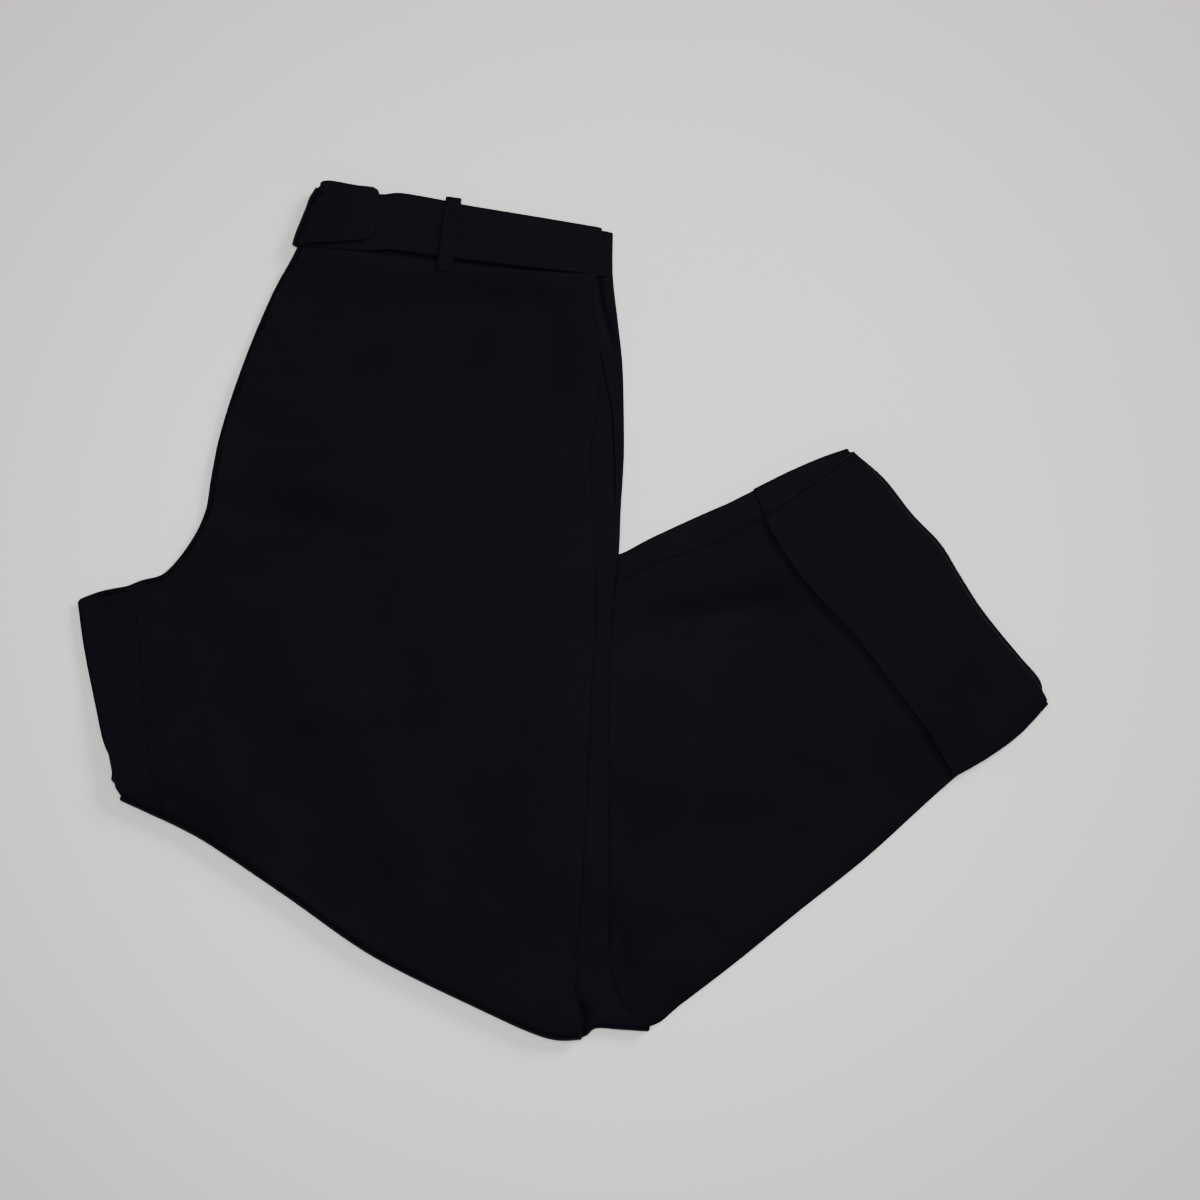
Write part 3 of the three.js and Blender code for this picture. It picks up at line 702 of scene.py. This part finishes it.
def cloth(name, grid, thickness, material, face_down=False):
    """A thin shell with rounded rims: the grid is its outer face."""
    rows, cols = grid.shape[:2]
    normal = grid_normals(grid)
    sign = downward(normal) if face_down else upward(grid, normal)
    normal = sign * normal
    inner = grid - thickness * normal
    rim, within = border(rows, cols)
    outer_rim = grid[rim[:, 0], rim[:, 1]]
    rim_normal = normal[rim[:, 0], rim[:, 1]]
    out = outer_rim - grid[within[:, 0], within[:, 1]]
    out -= (out * rim_normal).sum(axis=-1, keepdims=True) * rim_normal
    out /= np.maximum(np.linalg.norm(out, axis=-1, keepdims=True), 1e-9)
    middle = outer_rim - thickness / 2 * rim_normal
    rings = []
    for angle in np.radians([50, 0, -50]):
        rings.append(middle + thickness / 2 * (np.sin(angle) * rim_normal + np.cos(angle) * out))
    size = rows * cols
    count = len(rim)
    start = rim[:, 0] * cols + rim[:, 1]
    loops = [start] + [2 * size + k * count + np.arange(count) for k in range(3)] + [size + start]
    faces = [quads(rows, cols), quads(rows, cols, size)[:, ::-1]]
    for a, b in zip(loops[:-1], loops[1:]):
        faces.append(np.stack([a, b, np.roll(b, -1), np.roll(a, -1)], axis=-1)[:, ::-1])
    faces = np.concatenate(faces)
    if sign < 0:
        faces = faces[:, ::-1]
    points = np.concatenate([grid.reshape(-1, 3), inner.reshape(-1, 3)] + rings)
    return make_object(name, points, faces, material)


def curled(grid, radius, depth, steps=8):
    """Rows that turn in round the last row of a closed grid and run back inside it."""
    normal = grid_normals(grid, closed=True)
    normal = upward(grid, normal) * normal[-1]
    out = grid[-1] - grid[-2]
    out -= (out * normal).sum(axis=-1, keepdims=True) * normal
    out /= np.maximum(np.linalg.norm(out, axis=-1, keepdims=True), 1e-9)
    rows = []
    for angle in np.radians(np.linspace(90, -90, steps)[1:]):
        rows.append(grid[-1] + radius * (np.cos(angle) * out + (np.sin(angle) - 1) * normal))
    for back in np.linspace(0, depth, 4)[1:]:
        rows.append(grid[-1] - 2 * radius * normal - back * out)
    return np.array(rows)


def turned_tube(name, grid, edge_radius):
    """A turn-up: a flattened tube whose free edge and hem turn in."""
    hem = curled(grid, HEM_RADIUS, HEM_DEPTH)
    free = curled(grid[::-1], edge_radius, 4.0, 6)[::-1]
    whole = np.concatenate([free, grid, hem])
    rows, cols = whole.shape[:2]
    faces = quads(rows, cols, closed=True)
    if upward(whole, grid_normals(whole, closed=True)) < 0:
        faces = faces[:, ::-1]
    return make_object(name, whole.reshape(-1, 3), faces, lower_cloth)


# Finishes


def node(tree, kind, **values):
    made = tree.nodes.new(kind)
    for key, value in values.items():
        if key in made.inputs:
            made.inputs[key].default_value = value
        else:
            setattr(made, key, value)
    return made


def noise(tree, vector, scale, detail=2.0, roughness=0.5):
    made = node(tree, "ShaderNodeTexNoise")
    made.inputs["Scale"].default_value = scale
    made.inputs["Detail"].default_value = detail
    made.inputs["Roughness"].default_value = roughness
    tree.links.new(vector, made.inputs["Vector"])
    return made.outputs["Fac"]


def ramp(tree, value, low, high):
    made = node(tree, "ShaderNodeValToRGB")
    made.color_ramp.elements[0].position = low[0]
    made.color_ramp.elements[0].color = (*low[1], 1)
    made.color_ramp.elements[1].position = high[0]
    made.color_ramp.elements[1].color = (*high[1], 1)
    tree.links.new(value, made.inputs["Fac"])
    return made.outputs["Color"]


def bump(tree, height, distance, strength, below=None):
    made = node(tree, "ShaderNodeBump")
    made.inputs["Distance"].default_value = distance
    made.inputs["Strength"].default_value = strength
    tree.links.new(height, made.inputs["Height"])
    if below is not None:
        tree.links.new(below, made.inputs["Normal"])
    return made.outputs["Normal"]


def yarns(tree, vector, turn, width):
    """One set of fine threads: a wave across the cloth, turned to the grain."""
    mapping = node(tree, "ShaderNodeMapping")
    mapping.inputs["Rotation"].default_value = (0, 0, np.radians(turn))
    tree.links.new(vector, mapping.inputs["Vector"])
    wave = node(tree, "ShaderNodeTexWave")
    wave.inputs["Scale"].default_value = 1 / (width * WAVE_RATE) * np.pi
    wave.inputs["Distortion"].default_value = 1.2
    wave.inputs["Detail"].default_value = 2.0
    wave.inputs["Detail Scale"].default_value = 2.0
    tree.links.new(mapping.outputs["Vector"], wave.inputs["Vector"])
    return wave.outputs["Fac"]


def higher(tree, a, b):
    made = node(tree, "ShaderNodeMath", operation="MAXIMUM")
    tree.links.new(a, made.inputs[0])
    tree.links.new(b, made.inputs[1])
    return made.outputs["Value"]


def black_cloth(name, grain):
    """Fine matt black crepe; grain turns its threads in degrees."""
    material = bpy.data.materials.new(name)
    material.use_nodes = True
    tree = material.node_tree
    shader = tree.nodes["Principled BSDF"]
    place = node(tree, "ShaderNodeTexCoord").outputs["Object"]
    patches = noise(tree, place, 14.0, 3.0)
    pebble = noise(tree, place, 1500.0, 2.0, 0.6)
    colour = ramp(tree, patches, (0.3, CLOTH_DARK), (0.72, CLOTH_LIGHT))
    tree.links.new(colour, shader.inputs["Base Color"])
    shader.inputs["Roughness"].default_value = CLOTH_ROUGHNESS
    shader.inputs["Specular IOR Level"].default_value = CLOTH_SHINE
    shader.inputs["Sheen Weight"].default_value = CLOTH_SHEEN
    shader.inputs["Sheen Roughness"].default_value = SHEEN_ROUGHNESS
    shader.inputs["Sheen Tint"].default_value = SHEEN_TINT
    weft = yarns(tree, place, grain, WEFT_THREAD)
    warp = yarns(tree, place, grain + 90, WARP_THREAD)
    weave = higher(tree, weft, warp)
    normal = bump(tree, weave, *WEAVE_RELIEF)
    normal = bump(tree, pebble, *PEBBLE_RELIEF, normal)
    soft = noise(tree, place, 55.0, 3.0)
    normal = bump(tree, soft, *SOFT_RELIEF, normal)
    tree.links.new(normal, shader.inputs["Normal"])
    return material


def thread_finish():
    material = bpy.data.materials.new("thread")
    material.use_nodes = True
    tree = material.node_tree
    shader = tree.nodes["Principled BSDF"]
    place = node(tree, "ShaderNodeTexCoord").outputs["Object"]
    twist = noise(tree, place, 2600.0, 1.0)
    colour = ramp(tree, twist, (0.3, THREAD_DARK), (0.7, THREAD_LIGHT))
    tree.links.new(colour, shader.inputs["Base Color"])
    shader.inputs["Roughness"].default_value = 0.55
    shader.inputs["Specular IOR Level"].default_value = THREAD_SHINE
    tree.links.new(bump(tree, twist, 0.0001, 0.5), shader.inputs["Normal"])
    return material


def floor_finish():
    """A pale matt floor, with painted shade that makes its colour darker away from the middle in
    place of the light falling off.
    """
    material = bpy.data.materials.new("floor")
    material.use_nodes = True
    tree = material.node_tree
    shader = tree.nodes["Principled BSDF"]
    place = node(tree, "ShaderNodeTexCoord").outputs["Object"]
    cloudy = noise(tree, place, 1.4, 2.0)
    colour = ramp(tree, cloudy, (0.3, FLOOR_WARM), (0.7, FLOOR_COOL))
    away = node(tree, "ShaderNodeVectorMath", operation="LENGTH")
    tree.links.new(place, away.inputs[0])
    # Painted shade: the floor colour is multiplied darker with distance from the middle, in place of
    # the light falling off
    edge = ramp(tree, away.outputs["Value"], (0.28, FLOOR_MIDDLE), (0.62, FLOOR_CORNER_PAINTED_SHADE))
    painted_falloff_mix = node(tree, "ShaderNodeMix", data_type="RGBA", blend_type="MULTIPLY")
    painted_falloff_mix.inputs["Factor"].default_value = 1.0
    tree.links.new(colour, painted_falloff_mix.inputs["A"])
    tree.links.new(edge, painted_falloff_mix.inputs["B"])
    tree.links.new(painted_falloff_mix.outputs["Result"], shader.inputs["Base Color"])
    shader.inputs["Roughness"].default_value = 0.9
    shader.inputs["Specular IOR Level"].default_value = FLOOR_SHINE
    return material


upper_cloth = black_cloth("crepe_upper", UPPER_GRAIN)
lower_cloth = black_cloth("crepe_lower", LOWER_GRAIN)
band_cloth = black_cloth("crepe_band", BAND_GRAIN)
thread = thread_finish()

# Upper part: the left leg on the right leg


def rows_below_band(last, count):
    """Rows tucked under the waistband, close ones at its seam, then even ones down the leg."""
    rows = down((BAND_ROW - 0.3) / LAST, (BAND_ROW - 0.004) / LAST, 3, sink=SEAM_TUCK)
    rows += down((BAND_ROW + 0.004) / LAST, (BAND_ROW + 0.03) / LAST, 3)
    return rows + down((BAND_ROW + 0.06) / LAST, last / LAST, count)


def band_rows(count):
    """Even rows down the waistband, and close ones at its seam."""
    rows = down(0.0, (BAND_ROW - 0.06) / LAST, count)
    return rows + down((BAND_ROW - 0.03) / LAST, (BAND_ROW - 0.01) / LAST, 3)


def row_blend(v, start, end):
    """0 above section start and 1 below section end."""
    return smooth((v * LAST - start) / (end - start))


def front_left_lip(v, crown):
    """The centre-front fold goes round all four layers; below the crotch it is a seam."""
    below = row_blend(v, CROTCH_ROW - 0.7, CROTCH_ROW + 0.1)
    wide = FOLD_REACH + (SEAM_LIP - FOLD_REACH) * below
    deep = crown / 2 + (SEAM_LIP - crown / 2) * below
    return wide, deep


def left_front():
    """The top panel, from under the waistband round the knee fold."""
    seam = [row.inner for row in UPPER[:CROTCH_ROW]] + INSEAM
    plan = Patch(
        curve(seam), upper_side, line(UPPER[0].inner, UPPER[0].side),
        curve([INSEAM[-1]] + KNEE_FOLD[1:]),
    )
    columns = lip(-1, -8, 90, 10) + across(0.018, 0.985, 118) + lip(1) + tail(1, end=25)
    rows = rows_below_band(LEFT_FRONT_END, 150) + rolled(steps=17)
    grid = lay(plan, columns, rows, upper_top, left=front_left_lip, bridge=8)
    return cloth("left_front_panel", grid, CLOTH, upper_cloth)


def crotch_left_lip(v, crown):
    below = smooth((v - 0.10) / 0.12)
    deep = crown / 2 + (LEG / 2 - crown / 2) * below
    wide = FOLD_REACH + (LEG / 2 - FOLD_REACH) * below
    return wide, deep


def left_back():
    """The left back shows beyond the inseam, from the crotch to the knee fold."""
    right = [CROTCH_TOP] + INSEAM[1:]
    plan = Patch(
        curve(CROTCH_SIDE), shifted(curve(right), (-0.2, 0)), line(CROTCH_SIDE[0], CROTCH_TOP),
        line(KNEE_FOLD[0], INSEAM[-1]),
    )
    columns = tail(-1, start=10, end=1, steps=4) + lip(-1, -90, 90, 11)
    columns += across(0.10, 0.97, 18) + lip(1, 90, 0, 5)
    columns += tail(1, angle=0, start=-1, end=-8, steps=4, drop=0.5)
    rows = down(0.0, 0.88, 56) + rolled(steps=17)
    grid = lay(plan, columns, rows, upper_top, crotch_left_lip, equal_lip(SEAM_LIP), bridge=4)
    return cloth("left_back_panel", grid, CLOTH, upper_cloth)


def strip_foot(places):
    """Underside of the strip's knee fold: on a layer under the leg, on the table beside it."""
    return LEG * smooth((18 - places[..., 0]) / 10)


def right_back():
    """The right back shows as a strip beside the left leg, and lies hidden under it."""
    inner = [np.array(row.inner) + (7, -2) for row in UPPER[:CROTCH_ROW + 1]]
    inner += [np.array((-316.0, 1.0))] + [np.array(row.inner) for row in UPPER[CROTCH_ROW + 2:]]
    fold = KNEE_FOLD[:-1] + [(13.0, -285.2), (22.0, -279.2), (37.0, -279.9), UPPER[LAST].edge]
    plan = Patch(curve(inner), upper_edge, line(inner[0], UPPER[0].edge), curve(fold))
    columns = tail(-1, start=12, end=1, steps=4) + lip(-1, -90, 90, 9)
    columns += across(0.03, 0.86, 36) + across(0.872, 0.99, 34) + lip(1) + tail(1, end=20)
    rows = rows_below_band(RIGHT_BACK_END, 130) + rolled(steps=15)
    grid = lay(plan, columns, rows, strip_top, foot=strip_foot, bridge=6)
    return cloth("right_back_panel", grid, CLOTH, upper_cloth)


def right_front():
    """The right front lies on the table under the upper part."""
    inner = [row.inner for row in UPPER[:CROTCH_ROW + 1]]
    inner += [(-300, 2), (-300, -26), (-294, -60), (-286, -84)]
    sections = np.linspace(0, RIGHT_FRONT_END / LAST, RIGHT_FRONT_END + 1)
    edge = upper_edge(sections) + (-16, 2)
    plan = Patch(curve(inner), curve(edge), line(inner[0], edge[0]), line(inner[-1], edge[-1]))

    def left(v, crown):
        folded = 1 - smooth((v * RIGHT_FRONT_END - (CROTCH_ROW + 0.2)) / 0.8)
        deep = crown / 2 * folded + 0.6 * (1 - folded)
        return FOLD_REACH * folded + 0.8 * (1 - folded), deep

    rim = lip(-1, -14, -90, 9)
    columns = rim + across(0.03, 1.0, 60, -90)
    rows = down((BAND_ROW - 0.2) / RIGHT_FRONT_END, 1.0, 60)
    grid = lay(plan, columns, rows, upper_top, left)
    level = slice(len(rim), None)
    grid[:, level, 2] = lift(grid[:, level, :2]) + FLOOR_GAP
    return cloth("right_front_panel", grid, CLOTH, upper_cloth, face_down=True)


# Lower part: the right leg on the left leg


def lower_plan():
    return Patch(lower_inner, lower_side, line(LOWER[0].inner, LOWER[0].side), hem_fold)


def right_front_lower():
    """The right front below the knee, up to the turn-up."""
    columns = tail(-1, start=14, end=1, steps=4) + lip(-1, -90, 90, 9)
    columns += across(0.02, 0.985, 96) + lip(1, steps=11) + tail(1, end=18)
    rows = down(0.0, RIGHT_LOWER_END / HEM_ROW, 120)
    grid = lay(lower_plan(), columns, rows, lower_top)
    return cloth("right_front_lower_panel", grid, CLOTH, lower_cloth)


def left_lower():
    """The left leg under it: its inner edge shows, and its front lies on the table."""
    hidden = [(-280.0, -111.5), (-180.0, -64.0), (-76.0, -14.0)]
    inner = hidden + [row.back for row in LOWER]
    side = [(0.0, -265.0), (20.0, -264.0), (50.0, -264.0)]
    side += [np.array(row.side) + (-2.2, 2.8) for row in LOWER[4:]]
    plan = Patch(curve(inner), curve(side), line(inner[0], side[0]), line(inner[-1], side[-1]))
    columns = tail(-1, angle=90, start=34, end=2, steps=12) + lip(-1, 90, -90, 9)
    rim = lip(1, -90, 70, 8)
    columns += across(0.06, 0.99, 40, -90) + rim
    rows = down(0.0, 0.30, 14) + down(0.31, 0.96, 84)

    def left(v, crown):
        return LEG / 2 + 0 * crown, crown / 2

    grid = lay(plan, columns, rows, back_top, left, left, start_along=True)
    raised = slice(len(columns) - len(rim), len(columns))
    peak = grid[:, raised, 2].max(axis=1, keepdims=True)
    grid[:, raised, 2] *= 1.0 / np.maximum(peak / LEFT_RIM_HEIGHT, 1.0)
    return cloth("left_leg_lower_panel", grid, CLOTH, lower_cloth)


def cuff_border(table, offset):
    return [np.array(point, float) + offset for point in table]


def right_cuff():
    """The turn-up on top."""
    rows_below = LOWER[CUFF_ROW:]
    left = [CUFF_EDGE[0]] + [row.inner for row in rows_below[1:-1]] + [HEM[0]]
    right = [CUFF_EDGE[-1]] + cuff_border([r.side for r in rows_below[1:-1]], RIGHT_CUFF_SIDE)
    right += [HEM[-1]]
    plan = Patch(curve(left), curve(right), curve(CUFF_EDGE), hem_fold)
    columns = across(0.03, 0.97, 84) + lip(1, 84, -84, 12)
    columns += across(0.97, 0.03, 44, -90) + lip(-1, -84, 84, 12)
    half = equal_lip(CUFF_HALF)
    grid = lay(plan, columns, down(0.0, CUFF_END, 44), cuff_top, half, half)
    return turned_tube("right_turn_up", grid, RIGHT_EDGE_RADIUS)


def left_cuff_top(places):
    return 2 * CUFF_HALF + 0.15 + 0 * places[..., 0]


def left_cuff():
    """The turn-up under it, with its hem showing."""
    rows_below = LOWER[CUFF_ROW:]
    left = cuff_border([row.back for row in rows_below], LEFT_CUFF_BACK)
    right = cuff_border([row.side for row in rows_below], LEFT_CUFF_SIDE)
    hem = [left[-1]] + cuff_border(HEM[1:-1], LEFT_CUFF_HEM) + [right[-1]]
    edge = [left[0]] + cuff_border(CUFF_EDGE[1:-1], LEFT_CUFF_EDGE) + [right[0]]
    plan = Patch(curve(left), curve(right), curve(edge), curve(hem))
    columns = across(0.03, 0.97, 60) + lip(1, 84, -84, 10)
    columns += across(0.97, 0.03, 30, -90) + lip(-1, -84, 84, 12)
    half = equal_lip(CUFF_HALF)
    grid = lay(plan, columns, down(0.0, CUFF_END, 36), left_cuff_top, half, half)
    return turned_tube("left_turn_up", grid, LEFT_EDGE_RADIUS)


# Waistband, tab and belt loop


def left_band():
    plan = Patch(upper_inner, upper_side, curve(WAIST), knee_fold)
    columns = across(0.0, 0.985, 90) + lip(1, steps=9) + across(0.985, 0.02, 40, -90)
    half = equal_lip(BAND_HALF)
    grid = lay(plan, columns, band_rows(13), band_top, half, half)
    return cloth("left_waistband_strip", grid, BAND_CLOTH, band_cloth)


def right_band_top(places):
    return LEG + waist_rise(places) / 2 + BAND_STEP


def right_band():
    inner = [np.array(row.inner) + (9, -1) for row in UPPER]
    fold = KNEE_FOLD[:-1] + [UPPER[LAST].edge]
    plan = Patch(curve(inner), upper_edge, line(inner[0], UPPER[0].edge), curve(fold))
    columns = across(0.0, 0.985, 60) + lip(1, steps=9) + across(0.985, 0.03, 40, -90)

    def half(v, crown):
        return RIGHT_BAND_REACH + 0 * crown, (crown - FLOOR_GAP) / 2

    grid = lay(plan, columns, band_rows(11), right_band_top, half, half)
    return cloth("right_waistband_strip", grid, BAND_CLOTH, band_cloth)


def tab():
    plan = Patch(
        curve(TAB_TOP), line(TAB_RIGHT[-1], TAB_LEFT[-1]),
        curve(TAB_RIGHT), curve(TAB_LEFT),
    )

    def above(places):
        return band_top(places) + LAYER_GAP + TAB_CLOTH

    columns = across(0.0, 1.0, 26)
    rows = down(0.0, 0.80, 24) + rolled(steps=19, back=10)
    grid = lay(plan, columns, rows, above, bridge=2)
    return cloth("waistband_tab_strip", softened_corners(grid, TAB_CORNER), TAB_CLOTH, band_cloth)


def softened_corners(grid, reach):
    """The free end of a strip with its two corners rounded off."""
    first = grid[0]
    run = np.linalg.norm(first[:, :2] - first[0, :2], axis=-1)
    near = np.minimum(run, run[-1] - run)
    back = reach * (1 - np.sqrt(1 - np.clip(1 - near / reach, 0, 1) ** 2)) * 0.45
    along = grid[4] - grid[0]
    along /= np.linalg.norm(along, axis=-1, keepdims=True)
    fade = np.linspace(1, 0, 10) ** 1.5
    for k, share in enumerate(fade):
        grid[k] += share * back[:, None] * along
    return grid


def loop_plan():
    top = np.array(LOOP_TOP)
    foot = np.array(LOOP_FOOT)
    run = top - foot
    half = LOOP_WIDTH / 2 * np.array((-run[1], run[0])) / np.hypot(*run)
    return Patch(
        line(foot - half, top - half), line(foot + half, top + half),
        line(foot - half, foot + half), line(top - half, top + half),
    )


def loop_top(places):
    below = -north_of(UPPER[BAND_ROW].inner, UPPER[BAND_ROW].side, places)
    arch = 0.4 * smooth((below + 40) / 14) * smooth((4 - below) / 14)
    return band_top(places) + LOOP_CLOTH + 0.2 - (BAND_STEP + 0.3) * smooth((below - 1) / 4) + arch


def belt_loop():
    def foot(places):
        return band_top(places) - 2 * LOOP_OVER + LOOP_CLOTH

    columns = across(0.0, 1.0, 12)
    rows = down(0.0, 0.93, 40) + rolled(steps=13, back=6)
    grid = lay(loop_plan(), columns, rows, loop_top, foot=foot, bridge=2)
    return cloth("belt_loop_strip", grid, LOOP_CLOTH, band_cloth)


# Sewing


def threads(name, stitches):
    """Short rounded stitches as one mesh: each is a pair of end points."""
    points = []
    faces = []
    for a, b in stitches:
        a = np.asarray(a, float)
        run = np.asarray(b, float) - a
        across_run = np.cross(run, (0, 0, 1))
        across_run /= np.linalg.norm(across_run)
        first = len(points)
        for t, size in STITCH_RINGS:
            for k in range(STITCH_SIDES):
                angle = 2 * np.pi * k / STITCH_SIDES
                offset = across_run * np.cos(angle) + np.array((0, 0, 1)) * np.sin(angle)
                points.append(a + t * run + STITCH_RADIUS * size * offset)
        for i in range(len(STITCH_RINGS) - 1):
            for k in range(STITCH_SIDES):
                m = (k + 1) % STITCH_SIDES
                low = first + i * STITCH_SIDES
                above = low + STITCH_SIDES
                faces.append((low + k, low + m, above + m, above + k))
    return make_object(name, points, faces, thread)


def loop_stitches():
    plan = loop_plan()
    stitches = []
    for u in (0.13, 0.87):
        for v in np.arange(0.04, 0.93, 0.05):
            ends = plan.at(np.array([u, u]), np.array([v, v + 0.034]))
            height = loop_top(ends) + 0.05
            stitches.append([(*ends[0], height[0]), (*ends[1], height[1])])
    for v in (0.035, 0.05, 0.90, 0.915):
        for u in np.arange(0.12, 0.80, 0.11):
            ends = plan.at(np.array([u, u + 0.12]), np.array([v, v + 0.012]))
            height = loop_top(ends) + 0.1
            stitches.append([(*ends[0], height[0]), (*ends[1], height[1])])
    return threads("belt_loop_stitches", stitches)


def pocket_edge():
    """The folded edge of the side pocket, standing just off the strip."""
    at = curve(POCKET_EDGE)
    t = np.linspace(0, 1, 90)
    middle = at(t)
    side = sideways(at, t, 1)
    fade = smooth(t / 0.08) * smooth((1 - t) / 0.15)
    grid = []
    for reach, rise in POCKET_SECTION:
        row = middle + reach * side
        height = strip_top(row) + rise * fade - 0.4 * (1 - fade)
        grid.append(np.concatenate([row, height[:, None]], axis=-1))
    return cloth("pocket_edge_fold", np.array(grid), POCKET_CLOTH, upper_cloth)


# Stage


def stage_floor():
    bpy.ops.mesh.primitive_plane_add(size=FLOOR_SIZE, location=(0, 0, -FLOOR_BELOW))
    floor = bpy.context.object
    floor.name = "floor"
    floor.data.materials.append(floor_finish())


def look_from(place, target):
    return (Vector(target) - Vector(place)).to_track_quat("-Z", "Y").to_euler()


def area_light(light):
    data = bpy.data.lights.new(light.name, "AREA")
    data.shape = "SQUARE"
    data.size = light.size
    data.energy = light.power
    data.spread = np.radians(light.spread)
    data.color = light.colour
    lamp = bpy.data.objects.new(light.name, data)
    lamp.location = light.place
    lamp.rotation_euler = look_from(light.place, light.target)
    bpy.context.scene.collection.objects.link(lamp)


def camera():
    """Looks straight down, with the frame's width at the height of the cloth."""
    data = bpy.data.cameras.new("camera")
    data.sensor_width = SENSOR
    data.lens = SENSOR * (CAMERA_PLACE[2] - CAMERA_TARGET_HEIGHT) / FRAME_WIDTH
    data.clip_end = 50
    eye = bpy.data.objects.new("camera", data)
    eye.location = CAMERA_PLACE
    eye.rotation_euler = (0, 0, 0)
    bpy.context.scene.collection.objects.link(eye)
    bpy.context.scene.camera = eye


def lights():
    for light in LIGHTS:
        area_light(light)
    world = bpy.data.worlds.new("studio")
    world.use_nodes = True
    background = world.node_tree.nodes["Background"]
    background.inputs["Color"].default_value = WORLD_COLOUR
    background.inputs["Strength"].default_value = WORLD_STRENGTH
    bpy.context.scene.world = world


camera()
lights()
stage_floor()

pieces = {
    "left_front": left_front(),
    "left_back": left_back(),
    "right_back": right_back(),
    "right_front": right_front(),
    "right_lower": right_front_lower(),
    "left_lower": left_lower(),
    "right_cuff": right_cuff(),
    "left_cuff": left_cuff(),
    "left_band": left_band(),
    "right_band": right_band(),
    "tab": tab(),
    "loop": belt_loop(),
    "pocket": pocket_edge(),
    "stitches": loop_stitches(),
}


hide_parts("left_front")
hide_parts("left_back_crotch")
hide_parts("right_back_strip")
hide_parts("folded_layers")
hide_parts("right_front_lower")
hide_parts("left_back_lower")
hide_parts("right_cuff")
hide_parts("left_cuff")
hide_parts("left_waistband")
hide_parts("right_waistband")
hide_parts("waistband_tab")
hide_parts("belt_loop")
